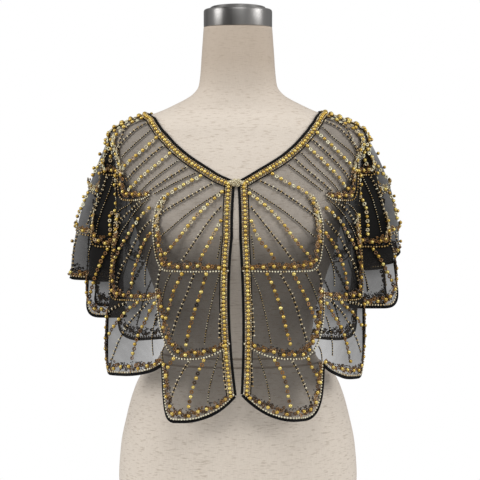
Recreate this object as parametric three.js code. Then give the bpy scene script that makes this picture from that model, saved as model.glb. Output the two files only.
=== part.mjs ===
// A sheer, beaded bolero (a short scalloped cape with an open front) worn on a limbless dress form.
//
// Millimetres, +Z up. The form stands on Z = 0 round the Z axis, and the bolero's opening faces -Y.
// Right and left are the wearer's, so the right front lies on the -X side.
//
// The cloth is worked out as one drape on each side. A point on it is named by its distance along the
// hem from the front edge and by its height. It lies on the form from the neckline down to where its
// fold leaves the form, and hangs free from there to the hem.
import * as THREE from "three";

// Driving sizes
const CLOTH_WALL = 1.2;
const CLOTH_CLEARANCE = 1.7; // from the form to the middle of the cloth wall
const SEAM_GAP = 0.3;
const BINDING_GAP = 0.6; // from the cut edge to the binding
const BINDING_WIDTH = 3;
const BINDING_THICKNESS = 2.2;
const BEAD_ROW_INSET = 5.1; // from the cut edge to the middle of the row
const BEAD_ROW_WIDTH = 5.2;
const BEAD_ROW_HEIGHT = 4.6;
const BEAD_ROW_CREST = 0.9; // the share of the height that the row's flattened top lies at
const BEAD_ROW_GAP = 0.45; // from the cloth to the row
const HEM_END_GAP = 1.2; // from the end of a hem's binding to the shoulder seam
const CAP_RADIUS = 49.5;
const CAP_BOTTOM = 749.3;
const CAP_RIM_HEIGHT = 26;
const CAP_DOME_HEIGHT = 7;
const CAP_EDGE_ROUNDING = 4;
const CAP_RIDGE_WIDTH = 8; // from the cap's side to its raised lid
const CAP_GROOVE_WIDTH = 1;
const CAP_LID_STEPS = 5;
const CAP_LID_SQUARENESS = 0.6; // under 1 the lid's edge is fuller than a circle's
const CLOSURE_WIDTH = 21;
const CLOSURE_HEIGHT = 12;
const CLOSURE_DEPTH = 3;
const CLOSURE_SIDES = 16;
const CLOSURE_AT = { x: -2, z: 523 };

const FORM_SIDES = 36;
const ROWS_ON_FORM = 8;
const ROWS_HANGING = 7;
const BEND_WEIGHT = 40; // millimetres of cloth that one radian of bend counts for
const BAND_STEP = 15;
const FINE_STEPS = 60; // for measuring along a curve
const SLOPE_STEP = 0.5; // how far either side of a place its slope is measured
const FRONT_EDGE_STEPS = 20;
const LEAST_MITRE = 0.6; // keeps a strip from spiking at a sharp corner

/** Turns rows of numbers into objects with named columns. */
function table(columns, rows) {
  return rows.map((row) => Object.fromEntries(columns.map((column, i) => [column, row[i]])));
}

// The form's level sections: height, half width, and how far it reaches to the front and to the back.
const FORM_SECTIONS = table(
  ["z", "half", "front", "back"],
  [
    [0, 158, 103, 110],
    [6, 162, 106, 113],
    [50, 169, 110, 117],
    [100, 173, 112, 118],
    [145, 170, 111, 114],
    [190, 161, 108, 105],
    [222, 152, 104, 97],
    [248, 140, 99, 90],
    [268, 118, 93, 85],
    [292, 107, 89, 82],
    [335, 111, 92, 87],
    [385, 126, 105, 97],
    [430, 141, 121, 106],
    [455, 147, 125, 110],
    [500, 158, 116, 115],
    [545, 173, 100, 111],
    [572, 182, 89, 103],
    [586, 186, 82, 96],
    [596, 183.5, 78, 91],
    [603.5, 175, 75, 86],
    [610, 163, 71, 81],
    [615.5, 149, 68, 77],
    [622.5, 128, 63, 72],
    [629.5, 109, 59, 67],
    [637, 93, 56, 62],
    [645, 77, 54, 58],
    [653, 65, 52, 55],
    [664, 57, 51, 53],
    [680, 54.5, 50.5, 51],
    [715, 52, 49.5, 49.5],
    [749, 49.5, 48, 48],
  ],
);

// The necklines on the form: the direction from the front, in degrees, and the height.
const NECKLINES = {
  right: table(
    ["angle", "z"],
    [
      [2.4, 525],
      [9.3, 534],
      [14, 543],
      [18.6, 552],
      [23.2, 562],
      [28, 575],
      [32.6, 590],
      [38, 601],
      [43.5, 608],
      [54, 615.5],
      [92, 622.5],
      [128, 617],
      [155, 606],
      [180, 600],
    ],
  ),
  left: table(
    ["angle", "z"],
    [
      [0.9, 525],
      [6.2, 534],
      [11.1, 543],
      [16, 552],
      [20.8, 562],
      [25.5, 575],
      [30, 590],
      [34.7, 601],
      [40, 608],
      [49.5, 616],
      [66, 622],
      [92, 625.5],
      [128, 619.5],
      [155, 608],
      [180, 600],
    ],
  ),
};

// The folds of one side, from the front edge to the middle of the back. neck is the share of the
// neckline that a fold starts from. It has turned to its own angle by the height turn and leaves the
// form at leave. x, y and hang are a point low on it, and bow moves it outwards halfway down.
const FOLDS = table(
  ["name", "neck", "angle", "turn", "leave", "x", "y", "hang", "bow"],
  [
    ["front_edge", 0.0, 3.9, 452, 452, 4.7, -127, 228, 6.5],
    ["a_middle", 0.15, 26, 460, 455, 56, -130, 196, 2],
    ["a_b", 0.3, 50, 500, 486, 103, -113, 262, 3],
    ["b_middle", 0.4, 63, 545, 525, 146, -88, 258, 3],
    ["b_c", 0.47, 74, 580, 556, 185, -56, 262, 6],
    ["c_valley", 0.492, 79, 588, 566, 160, -38, 334, 2],
    ["c_d", 0.512, 84, 594, 593, 216, -26, 338, 6],
    ["d_valley", 0.526, 88, 595, 576, 176, -8, 386, 3],
    ["shoulder", 0.54, 92, 596, 596, 244, 6, 387, 8],
    ["seam", 0.545, 93.6, 596, 591, 223, 11, 386, 7],
    ["e_valley", 0.552, 96.5, 595, 576, 178, 20, 382, 3],
    ["e_f", 0.566, 101.5, 592, 593, 208, 36, 378, 7],
    ["f_valley", 0.585, 108, 585, 572, 168, 50, 355, 2],
    ["f_g", 0.625, 119, 570, 552, 174, 78, 345, 4],
    ["g_middle", 0.72, 135, 545, 528, 140, 106, 300, 0],
    ["g_h", 0.82, 153, 525, 512, 82, 122, 290, 0],
    ["back_middle", 1.0, 180, 505, 505, 0, 126, 257, 0],
  ],
);

// Where the left side hangs otherwise than the right.
const LEFT_FOLDS = {
  front_edge: { angle: 2, x: 7, bow: 3.6 },
  a_middle: { x: 62 },
  a_b: { x: 118, y: -106 },
  b_middle: { x: 152, y: -82 },
  b_c: { x: 177, y: -50 },
  c_valley: { x: 158, y: -34, hang: 350 },
  c_d: { x: 229, y: -24, hang: 352 },
  d_valley: { x: 180, hang: 400 },
  shoulder: { x: 234, hang: 430, bow: 9 },
  seam: { x: 217, hang: 425, bow: 8 },
  e_valley: { x: 182, hang: 398 },
  e_f: { x: 214, hang: 396 },
  f_valley: { x: 172, hang: 375 },
};

// The scallops, each from its inner fold to its outer one: the height of the cut edge at its inner end
// and at its lowest point, how far across that point lies, the height where its outer edge meets the
// next scallop, and how square its outer corner is.
const SCALLOPS = table(
  ["inner", "outer", "start", "low", "lowAt", "end", "squareness"],
  [
    ["front_edge", "a_b", 231, 196, 0.82, 274, 4],
    ["a_b", "b_c", 274, 256, 0.84, 343, 4.4],
    ["b_c", "c_d", 343, 335, 0.72, 391, 3],
    ["c_d", "shoulder", 391, 387, 0.75, 391, 2],
    ["shoulder", "seam", 391, 390, 0.5, 390, 2],
    ["back_middle", "g_h", 260, 260, 0.2, 297, 2.6],
    ["g_h", "f_g", 297, 290, 0.6, 351, 2.8],
    ["f_g", "e_f", 351, 346, 0.8, 388, 3],
    ["e_f", "seam", 388, 384, 0.7, 390, 2],
  ],
);

const LEFT_SCALLOPS = {
  front_edge: { start: 233, low: 198, lowAt: 0.72, squareness: 2.8 },
  a_b: { low: 251, lowAt: 0.78, end: 353, squareness: 3 },
  b_c: { start: 353, low: 348, end: 415 },
  c_d: { start: 415, low: 408, lowAt: 0.5, end: 431, squareness: 1.5 },
  shoulder: { start: 431, low: 426, end: 425 },
  f_g: { end: 403 },
  e_f: { start: 403, low: 400, lowAt: 0.5, end: 425, squareness: 1.5 },
};
const INNER_RISE = 2.6; // how suddenly a scallop's edge falls from its inner end
const HANG_SLOPE = 0.6; // a fold's slope at its low point, as a share of its mean slope
const LEAVE_REACH = 90; // how far the form's slope carries on in a fold that leaves it
const SCALLOP_STEP = 26;
const SCALLOP_CORNER_STEPS = 4;
const ROUND_CORNER_STEPS = 2; // for corners no squarer than a circle's
const ROUND_SQUARENESS = 2;
const FOLDED_SCALLOP_STEPS = 4;
const MIN_FOLD_SPAN = 40; // a scallop wider than this has a fold inside it

const NATURAL_LINEN = new THREE.MeshStandardMaterial({ color: 0xd9cdbf, roughness: 0.9, metalness: 0 });
const BRUSHED_STEEL = new THREE.MeshStandardMaterial({ color: 0x8f8d8a, roughness: 0.35, metalness: 1 });
const BLACK_NET = new THREE.MeshStandardMaterial({ color: 0x2b2826, roughness: 0.8, metalness: 0 });
const BLACK_BINDING = new THREE.MeshStandardMaterial({ color: 0x0d0d0e, roughness: 0.6, metalness: 0 });
const GOLD_BEADS = new THREE.MeshStandardMaterial({ color: 0xc89a3c, roughness: 0.3, metalness: 0.8 });

/** A smooth curve through the values at the knots that never overshoots them. */
function curveThrough(knots, values) {
  const gaps = knots.slice(1).map((knot, i) => knot - knots[i]);
  const rises = gaps.map((gap, i) => (values[i + 1] - values[i]) / gap);
  const slopes = values.map((_, i) => {
    if (i === 0) return rises[0];
    if (i === values.length - 1) return rises[i - 1];
    if (rises[i - 1] * rises[i] <= 0) return 0;
    const before = 2 * gaps[i] + gaps[i - 1];
    const after = gaps[i] + 2 * gaps[i - 1];
    return (before + after) / (before / rises[i - 1] + after / rises[i]);
  });
  return (at) => {
    let i = 0;
    while (i < gaps.length - 1 && at > knots[i + 1]) i += 1;
    const t = (at - knots[i]) / gaps[i];
    return hermite(t, values[i], values[i + 1], slopes[i] * gaps[i], slopes[i + 1] * gaps[i]);
  };
}

/** The cubic from one value to another with these end slopes, carried on straight past its end. */
function hermite(t, from, to, slopeFrom, slopeTo) {
  if (t > 1) return to + (t - 1) * slopeTo;
  const s = 1 - t;
  return (
    from * s * s * (1 + 2 * t) + to * t * t * (3 - 2 * t) + slopeFrom * t * s * s - slopeTo * t * t * s
  );
}

const formCurve = Object.fromEntries(
  ["half", "front", "back"].map((column) => [
    column,
    curveThrough(
      FORM_SECTIONS.map((row) => row.z),
      FORM_SECTIONS.map((row) => row[column]),
    ),
  ]),
);

/** A point of the form's surface, by its direction from the front in degrees and its height. */
function formPoint(angle, z) {
  const turn = (angle * Math.PI) / 180;
  const depth = Math.cos(turn) > 0 ? formCurve.front(z) : formCurve.back(z);
  return new THREE.Vector3(formCurve.half(z) * Math.sin(turn), -depth * Math.cos(turn), z);
}

/** The outward normal of a surface given by a place across it, from front to back, and a height. */
function normalOf(surface, across, z) {
  const along = surface(across + SLOPE_STEP, z).sub(surface(across - SLOPE_STEP, z));
  const up = surface(across, z + SLOPE_STEP).sub(surface(across, z - SLOPE_STEP));
  return along.cross(up).normalize();
}

/** A point at a distance from the form's surface. */
function offForm(angle, z, distance) {
  return formPoint(angle, z).addScaledVector(normalOf(formPoint, angle, z), distance);
}

/** How far each point lies along the line through them all. */
function walkAlong(points) {
  const walk = [0];
  points.slice(1).forEach((point, i) => walk.push(walk[i] + point.distanceTo(points[i])));
  return walk;
}

/** One side's neckline: its direction and height by the share of its length. */
function neckCurves(side) {
  const rows = NECKLINES[side];
  const walk = walkAlong(rows.map((row) => offForm(row.angle, row.z, CLOTH_CLEARANCE)));
  const shares = walk.map((length) => length / walk.at(-1));
  const curve = (column) => curveThrough(shares, rows.map((row) => row[column]));
  return { angle: curve("angle"), height: curve("z") };
}

/** One side of the drape: its surface, its hem, and where its named folds are along the hem. */
class Drape {
  constructor(side) {
    this.mirror = side === "left" ? 1 : -1;
    const changed = side === "left" ? LEFT_FOLDS : {};
    const rows = FOLDS.map((row) => ({ ...row, ...changed[row.name] }));
    this.places = { [rows[0].name]: 0 };
    let along = 0;
    rows.slice(1).forEach((row, i) => {
      along += Math.hypot(row.x - rows[i].x, row.y - rows[i].y);
      this.places[row.name] = along;
    });
    const knots = Object.values(this.places);
    this.fold = Object.fromEntries(
      ["neck", "angle", "turn", "leave", "x", "y", "hang", "bow"].map((column) => [
        column,
        curveThrough(
          knots,
          rows.map((row) => row[column]),
        ),
      ]),
    );
    this.neck = neckCurves(side);
    const hems = side === "left" ? LEFT_SCALLOPS : {};
    this.scallops = SCALLOPS.map((row) => ({ ...row, ...hems[row.inner] }));
  }

  /** The height of the neckline above this place on the hem. */
  top(along) {
    return this.neck.height(this.fold.neck(along));
  }

  /** The cloth on the right side's own terms, before it is mirrored: its middle surface. */
  lie(along, z) {
    const start = this.top(along);
    const leave = this.fold.leave(along);
    const from = this.neck.angle(this.fold.neck(along));
    const turn = this.fold.angle(along) - from;
    const turned = start - this.fold.turn(along);
    const onForm = (height) => {
      const share = Math.min(1, (start - height) / turned);
      return offForm(from + turn * share * (2 - share), height, CLOTH_CLEARANCE);
    };
    if (z >= leave) return onForm(z);
    const drop = leave - this.fold.hang(along);
    const share = (leave - z) / drop;
    const edge = onForm(leave);
    const above = onForm(leave + 1);
    const hang = { x: this.fold.x(along), y: this.fold.y(along) };
    const bow = 4 * this.fold.bow(along) * share * Math.max(0, 1 - share);
    const [x, y] = ["x", "y"].map((axis) =>
      hermite(
        share,
        edge[axis],
        hang[axis],
        (edge[axis] - above[axis]) * LEAVE_REACH,
        (hang[axis] - edge[axis]) * HANG_SLOPE,
      ),
    );
    return new THREE.Vector3(x + bow, y, z);
  }

  /** The place this far along the cloth from another, measured at a height: positive is towards the back. */
  placeBeside(along, z, distance) {
    const before = this.lie(along - SLOPE_STEP, z);
    const after = this.lie(along + SLOPE_STEP, z);
    return along + (distance * 2 * SLOPE_STEP) / after.distanceTo(before);
  }

  outward(along, z) {
    return normalOf((a, b) => this.lie(a, b), along, z);
  }

  /** A point of the cloth, moved outwards from its middle surface. */
  point(along, z, out = 0) {
    const place = this.lie(along, z).addScaledVector(this.outward(along, z), out);
    place.x *= this.mirror;
    return place;
  }

  /** The hem from one scallop's inner end to its outer end, as places along it and heights. */
  scallopLine(scallop) {
    const { start, low, end, squareness } = scallop;
    const inner = this.places[scallop.inner];
    const outer = this.places[scallop.outer];
    const lowest = inner + (outer - inner) * scallop.lowAt;
    const fewest = Math.abs(outer - inner) > MIN_FOLD_SPAN ? FOLDED_SCALLOP_STEPS : 1;
    const riseSteps = Math.max(fewest, Math.round(Math.abs(lowest - inner) / SCALLOP_STEP));
    const rise = range(riseSteps).map((share) => [
      inner + (lowest - inner) * share,
      low + (start - low) * (1 - share) ** INNER_RISE,
    ]);
    const cornerSteps = squareness > ROUND_SQUARENESS ? SCALLOP_CORNER_STEPS : ROUND_CORNER_STEPS;
    const corner = range(cornerSteps)
      .slice(1)
      .map((share) => {
        const turn = (share * Math.PI) / 2;
        return [
          lowest + (outer - lowest) * Math.sin(turn) ** (2 / squareness),
          low + (end - low) * (1 - Math.cos(turn) ** (2 / squareness)),
        ];
      });
    return [...rise, ...corner];
  }

  /** The whole hem between the front edge or the middle of the back and the shoulder. */
  hemLine(part) {
    const back = this.scallops.findIndex((row) => row.inner === "back_middle");
    const rows = part === "front" ? this.scallops.slice(0, back) : this.scallops.slice(back);
    return rows.flatMap((row, i) => this.scallopLine(row).slice(i ? 1 : 0));
  }
}

/** The shares 0 to 1 in this many equal steps. */
function range(steps) {
  return Array.from({ length: steps + 1 }, (_, i) => i / steps);
}

/** A closed solid from a grid of rings: sections[i] holds the points round section i. */
function sweptSolid(sections) {
  const around = sections[0].length;
  const positions = sections.flat().flatMap((point) => point.toArray());
  const faces = [];
  for (let i = 0; i < sections.length - 1; i += 1) {
    for (let j = 0; j < around; j += 1) {
      const next = (j + 1) % around;
      const [a, b] = [i * around + j, i * around + next];
      faces.push(a, b, b + around);
      faces.push(a, b + around, a + around);
    }
  }
  const last = (sections.length - 1) * around;
  for (let j = 1; j < around - 1; j += 1) {
    faces.push(0, j + 1, j);
    faces.push(last, last + j, last + j + 1);
  }
  return geometryOf(positions, faces);
}

/** A wall of cloth from a grid of places: columns of [along, z] on one drape or another. */
function clothWall(columns) {
  const rows = columns[0].length;
  const skin = (out) =>
    columns.flatMap((column) => column.map((spot) => spot.drape.point(spot.along, spot.z, out)));
  const outside = skin(CLOTH_WALL / 2);
  const inside = skin(-CLOTH_WALL / 2);
  const shift = outside.length;
  const faces = [];
  const quad = (a, b, c, d) => faces.push(a, b, c, a, c, d);
  for (let i = 0; i < columns.length - 1; i += 1) {
    for (let j = 0; j < rows - 1; j += 1) {
      const [a, b, c, d] = [i * rows + j, i * rows + j + 1, (i + 1) * rows + j + 1, (i + 1) * rows + j];
      quad(a, b, c, d);
      quad(a + shift, d + shift, c + shift, b + shift);
    }
  }
  const edge = (line) =>
    line.slice(1).forEach((to, i) => quad(line[i], to, to + shift, line[i] + shift));
  const column = (i) => range(rows - 1).map((_, j) => i * rows + j);
  const row = (j) => columns.map((_, i) => i * rows + j);
  edge(column(0).reverse());
  edge(column(columns.length - 1));
  edge(row(0));
  edge(row(rows - 1).reverse());
  const positions = [...outside, ...inside].flatMap((point) => point.toArray());
  return geometryOf(positions, faces);
}

function geometryOf(positions, faces) {
  const geometry = new THREE.BufferGeometry();
  geometry.setAttribute("position", new THREE.Float32BufferAttribute(positions, 3));
  geometry.setIndex(faces);
  geometry.computeVertexNormals();
  return geometry;
}

/** The same solid with its faces pointing out, whichever way its grid runs. */
function facingOut(geometry) {
  const points = geometry.getAttribute("position");
  const corners = geometry.getIndex();
  const corner = (i) => new THREE.Vector3().fromBufferAttribute(points, corners.getX(i));
  let volume = 0;
  for (let i = 0; i < corners.count; i += 3) {
    volume += corner(i).dot(corner(i + 1).cross(corner(i + 2)));
  }
  if (volume > 0) return geometry;
  for (let i = 0; i < corners.count; i += 3) {
    const second = corners.getX(i + 1);
    corners.setX(i + 1, corners.getX(i + 2));
    corners.setX(i + 2, second);
  }
  geometry.computeVertexNormals();
  return geometry;
}

/** Heights between two, evenly spaced along the cloth but closer where it bends. */
function evenHeights(drape, along, from, to, steps) {
  const heights = range(FINE_STEPS).map((share) => from + (to - from) * share);
  const spots = heights.map((z) => drape.lie(along, z));
  const walk = walkAlong(spots);
  const moves = spots.slice(1).map((spot, i) => spot.clone().sub(spots[i]));
  let bend = 0;
  moves.slice(1).forEach((move, i) => {
    bend += BEND_WEIGHT * move.angleTo(moves[i]);
    walk[i + 2] += bend;
  });
  const heightAt = curveThrough(walk, heights);
  return range(steps).map((share) => heightAt(walk.at(-1) * share));
}

/**
 * A column of the cloth's grid, with a row where its fold leaves the form. It can lie beside its place,
 * which leaves room at a seam.
 */
function clothColumn(drape, along, hem, beside = 0) {
  const leave = drape.fold.leave(along);
  const onForm = evenHeights(drape, along, drape.top(along) - SEAM_GAP, leave, ROWS_ON_FORM);
  const hanging = evenHeights(drape, along, leave, hem + SEAM_GAP, ROWS_HANGING);
  return [...onForm, ...hanging.slice(1)].map((z) => ({
    drape,
    along: beside ? drape.placeBeside(along, z, beside) : along,
    z,
  }));
}

/** The same line in even steps of about this length. */
function evenSteps(drape, line, step) {
  const walk = walkAlong(line.map(([along, z]) => drape.lie(along, z)));
  const steps = Math.round(walk.at(-1) / step);
  const [along, height] = [0, 1].map((column) => curveThrough(walk, line.map((spot) => spot[column])));
  return range(steps).map((share) => [along(share * walk.at(-1)), height(share * walk.at(-1))]);
}

/**
 * The sections of a strip along a line on a drape, from a list of [distance beside it, height off it].
 * Distances are measured to the right of the line seen from outside, with mitred corners.
 */
function stripSections(drape, line, section) {
  const spots = line.map(([along, z]) => drape.lie(along, z));
  return line.map(([along, z], i) => {
    const outward = drape.outward(along, z);
    const sideOf = (from, to) => to.clone().sub(from).cross(outward).normalize();
    const before = sideOf(spots[Math.max(i - 1, 0)], spots[Math.max(i, 1)]);
    const after = sideOf(
      spots[Math.min(i, spots.length - 2)],
      spots[Math.min(i + 1, spots.length - 1)],
    );
    const side = before.add(after);
    const stretch = 1 / Math.max(side.length() / 2, LEAST_MITRE);
    side.normalize().multiplyScalar(stretch);
    return section.map(([beside, out]) => {
      const point = spots[i].clone().addScaledVector(side, beside).addScaledVector(outward, out);
      point.x *= drape.mirror;
      return point;
    });
  });
}

/** The neckline on a drape between two places along the hem. */
function neckLine(drape, from, to) {
  return range(FINE_STEPS).map((share) => {
    const along = from + (to - from) * share;
    return [along, drape.top(along)];
  });
}

/** The place on the neckline at this distance from the shoulder seam. */
function seamEnd(drape, beside) {
  const { seam } = drape.places;
  return drape.placeBeside(seam, drape.top(seam) - SEAM_GAP, beside);
}

/** The front's cut edge from the shoulder down the neckline to the front edge, and down that. */
function frontLine(drape, hem) {
  const neck = neckLine(drape, seamEnd(drape, -SEAM_GAP), 0);
  const edge = range(FRONT_EDGE_STEPS).map((share) => [0, drape.top(0) + (hem - drape.top(0)) * share]);
  return [...evenSteps(drape, neck, BAND_STEP), ...evenSteps(drape, edge, BAND_STEP).slice(1)];
}

function mesh(name, geometry, material) {
  const piece = new THREE.Mesh(geometry, material);
  piece.name = name;
  return piece;
}

/** The linen-covered form, one smooth body with a flat foot. */
function formTorso() {
  const heights = FORM_SECTIONS.map((row) => row.z);
  const rings = heights.map((z) =>
    range(FORM_SIDES)
      .slice(1)
      .map((share) => formPoint(share * 360, z)),
  );
  return mesh("form_torso", facingOut(sweptSolid(rings)), NATURAL_LINEN);
}

/** The steel cap on the form's neck, with a low dome in a rounded rim. */
function neckCap() {
  const top = CAP_BOTTOM + CAP_RIM_HEIGHT;
  const lid = CAP_RADIUS - CAP_RIDGE_WIDTH - CAP_GROOVE_WIDTH;
  const bevel = CAP_EDGE_ROUNDING * (1 - Math.SQRT1_2);
  const outline = [
    [0, CAP_BOTTOM],
    [CAP_RADIUS, CAP_BOTTOM],
    [CAP_RADIUS, top - CAP_EDGE_ROUNDING],
    [CAP_RADIUS - bevel, top - bevel],
    [CAP_RADIUS - CAP_EDGE_ROUNDING, top],
    [CAP_RADIUS - CAP_RIDGE_WIDTH, top],
    ...range(CAP_LID_STEPS).map((share) => [
      lid * Math.cos((share * Math.PI) / 2),
      top + CAP_DOME_HEIGHT * Math.sin((share * Math.PI) / 2) ** CAP_LID_SQUARENESS,
    ]),
  ].map(([x, y]) => new THREE.Vector2(Math.max(x, 0), y));
  outline.at(-1).x = 0;
  const lathe = new THREE.LatheGeometry(outline, FORM_SIDES).rotateX(Math.PI / 2);
  return mesh("neck_cap", lathe, BRUSHED_STEEL);
}

/** The grid columns of a panel's half, kept clear of the shoulder seam. */
function halfPanel(drape, part) {
  const beside = part === "front" ? -SEAM_GAP : SEAM_GAP;
  return drape
    .hemLine(part)
    .map(([along, hem], i, line) => clothColumn(drape, along, hem, i === line.length - 1 && beside));
}

function frontPanel(side, drape) {
  return mesh(`front_${side}`, facingOut(clothWall(halfPanel(drape, "front"))), BLACK_NET);
}

function backPanel(right, left) {
  const columns = [...halfPanel(right, "back").reverse(), ...halfPanel(left, "back").slice(1)];
  return mesh("back", facingOut(clothWall(columns)), BLACK_NET);
}

const BINDING_SECTION = [
  [0, -0.36],
  [0.6, -0.5],
  [1, 0],
  [0.6, 0.5],
  [0, 0.36],
].map(([beside, out]) => [BINDING_GAP + beside * BINDING_WIDTH, out * BINDING_THICKNESS]);

const BEAD_ROW_SECTION = [
  [0.42, 0],
  [0.5, 0.45],
  [0.3, BEAD_ROW_CREST],
  [-0.3, BEAD_ROW_CREST],
  [-0.5, 0.45],
  [-0.42, 0],
].map(([beside, out]) => [
  beside * BEAD_ROW_WIDTH - BEAD_ROW_INSET,
  CLOTH_WALL / 2 + BEAD_ROW_GAP + out * BEAD_ROW_HEIGHT,
]);

/** A strip that follows the cut edge of one front, round the neck and down the front edge. */
function frontStrip(name, drape, section, material, shorter) {
  const line = frontLine(drape, drape.scallops[0].start + shorter);
  return mesh(name, facingOut(sweptSolid(stripSections(drape, line, section))), material);
}

/** A strip round the back of the neck, from one shoulder to the other. */
function backNeckStrip(name, section, material) {
  const halves = [drapes.right, drapes.left].map((drape) => {
    const line = neckLine(drape, drape.places.back_middle, seamEnd(drape, SEAM_GAP));
    return stripSections(drape, evenSteps(drape, line, BAND_STEP), section);
  });
  const sections = [...halves[0].reverse(), ...halves[1].slice(1)];
  return mesh(name, facingOut(sweptSolid(sections)), material);
}

/** The hook closure, under a small domed cluster that lies over both front bindings. */
function closure() {
  const outline = [
    [0, 0],
    [0.5, 0],
    [0.47, 0.55],
    [0.36, 0.85],
    [0, 1],
  ].map(([radius, height]) => new THREE.Vector2(radius * CLOSURE_WIDTH, height * CLOSURE_DEPTH));
  const lift = CLOTH_CLEARANCE + CLOTH_WALL / 2 + BEAD_ROW_HEIGHT * BEAD_ROW_CREST + 2 * SEAM_GAP;
  const angle = (Math.asin(CLOSURE_AT.x / formCurve.half(CLOSURE_AT.z)) * 180) / Math.PI;
  const seat = offForm(angle, CLOSURE_AT.z, lift);
  const outward = normalOf(formPoint, angle, CLOSURE_AT.z);
  const geometry = new THREE.LatheGeometry(outline, CLOSURE_SIDES);
  geometry.rotateX(Math.PI / 2).scale(1, CLOSURE_HEIGHT / CLOSURE_WIDTH, 1);
  const turn = new THREE.Quaternion().setFromUnitVectors(new THREE.Vector3(0, 0, 1), outward);
  geometry.applyQuaternion(turn).translate(...seat.toArray());
  return mesh("closure", facingOut(geometry), GOLD_BEADS);
}

/** The binding of one panel's hem. */
function hemStrip(drape, part) {
  const line = drape.hemLine(part);
  const side = part === "front" ? 1 : -1;
  if (part === "front") line[0][0] += SEAM_GAP;
  line.at(-1)[0] -= side * HEM_END_GAP;
  const section = BINDING_SECTION.map(([beside, out]) => [beside * side, out]);
  return stripSections(drape, line, section);
}

function frontHem(side, drape) {
  const sections = hemStrip(drape, "front");
  return mesh(`front_${side}_hem`, facingOut(sweptSolid(sections)), BLACK_BINDING);
}

function backHem() {
  const sections = [
    ...hemStrip(drapes.right, "back").reverse(),
    ...hemStrip(drapes.left, "back").slice(1),
  ];
  return mesh("back_hem", facingOut(sweptSolid(sections)), BLACK_BINDING);
}

const drapes = { right: new Drape("right"), left: new Drape("left") };

const bolero = new THREE.Group();
bolero.add(formTorso(), neckCap());
for (const [side, drape] of Object.entries(drapes)) {
  bolero.add(
    frontPanel(side, drape),
    frontStrip(`front_${side}_binding`, drape, BINDING_SECTION, BLACK_BINDING, BINDING_GAP),
    frontStrip(`front_${side}_beading`, drape, BEAD_ROW_SECTION, GOLD_BEADS, BEAD_ROW_WIDTH),
    frontHem(side, drape),
  );
}
bolero.add(
  backPanel(drapes.right, drapes.left),
  backNeckStrip("back_neck_binding", BINDING_SECTION, BLACK_BINDING),
  backNeckStrip("back_neck_beading", BEAD_ROW_SECTION, GOLD_BEADS),
  backHem(),
  closure(),
);

export default bolero;
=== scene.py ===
"""A sheer, beaded bolero on a limbless dress form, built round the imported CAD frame.

The drape is worked out in millimetres from the same sizes as the CAD part, and turned into metres as
each mesh is made. A point on the cloth is named by its distance along the hem from the front edge and
by its height. Right and left are the wearer's, so the right side lies on -X.
"""

import logging
import math
from collections.abc import Callable
from dataclasses import dataclass, field
from enum import Enum

import bmesh
import bpy
import numpy as np
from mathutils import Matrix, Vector

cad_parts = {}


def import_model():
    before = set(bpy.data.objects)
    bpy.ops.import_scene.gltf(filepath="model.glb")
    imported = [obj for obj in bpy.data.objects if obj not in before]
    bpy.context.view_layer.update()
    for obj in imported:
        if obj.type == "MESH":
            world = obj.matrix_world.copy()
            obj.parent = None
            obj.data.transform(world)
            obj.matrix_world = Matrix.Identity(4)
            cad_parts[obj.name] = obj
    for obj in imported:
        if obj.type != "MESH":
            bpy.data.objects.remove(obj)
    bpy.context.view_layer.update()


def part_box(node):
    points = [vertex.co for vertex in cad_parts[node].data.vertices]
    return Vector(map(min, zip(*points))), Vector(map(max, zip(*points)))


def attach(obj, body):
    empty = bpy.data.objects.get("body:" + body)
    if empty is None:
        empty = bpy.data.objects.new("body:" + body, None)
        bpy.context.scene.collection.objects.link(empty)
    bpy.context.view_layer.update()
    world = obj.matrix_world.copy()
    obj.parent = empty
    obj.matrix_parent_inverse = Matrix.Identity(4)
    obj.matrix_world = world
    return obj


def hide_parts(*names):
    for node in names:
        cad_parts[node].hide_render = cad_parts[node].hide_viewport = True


log = logging.getLogger("bolero")

METRES = 0.001
SEED = 41

# Sizes that the CAD part has too, in millimetres
CLOTH_CLEARANCE = 1.7
BINDING_GAP = 0.6
BINDING_WIDTH = 3.0
BINDING_THICKNESS = 2.2
LEAVE_REACH = 90.0
HANG_SLOPE = 0.6
INNER_RISE = 2.6
CAP_RADIUS = 49.5
CAP_BOTTOM = 749.3
CAP_RIM_HEIGHT = 26.0
CAP_DOME_HEIGHT = 7.0
CAP_EDGE_ROUNDING = 4.0
CAP_RIDGE_WIDTH = 8.0

# How finely the surfaces are cut, and the grid on which places on the cloth are looked up
FORM_SIDES = 144
FORM_RINGS = 220
PANEL_ROWS = 72
PANEL_STEP = 4.0
STRIP_STEP = 3.0
FINE_STEPS = 90
ARC_STEPS = 40
GRID_COLUMNS = 420
GRID_ROWS = 240
GRID_ABOVE = 4.0
GRID_BOTTOM = 188.0

# How a line is moved on the cloth until it looks straight
STRAIGHT_STEPS = 12
STRAIGHT_ROUNDS = 4
LONGEST_MOVE = 12.0
LEAST_SCALE = 1e-4

# How much the net covers on the form, and how much more where it hangs free, at these heights; the more is
# painted shade, as falls where the net hangs away from the form. A fold's painted shade darkens it from its
# first share to all of it as the cloth leaves the form
NET_COVER = 0.265
NET_FREE_DEPTH = 45.0
NET_HANGING_SHADE = ((200, 270, 340, 400), (0.17, 0.21, 0.265, 0.24))
NET_FOLD_SHADE_FADE_DEPTH = 30.0
FOLD_SHADE_FIRST_SHARE = 0.3
FOLD_SHADE_GROWTH = 2.0


class Side(Enum):
    """A side of the wearer, with the sign of its X."""

    RIGHT = -1
    LEFT = 1

    @property
    def label(self) -> str:
        """The side's name as the CAD nodes spell it."""
        return self.name.lower()


def table(columns: str, rows: list) -> list:
    """Turns rows of values into dictionaries with named columns.

    Args:
        columns: The column names, separated by spaces.
        rows: One sequence of values a row.

    Returns:
        One dictionary a row.
    """
    return [dict(zip(columns.split(), row)) for row in rows]


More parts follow.
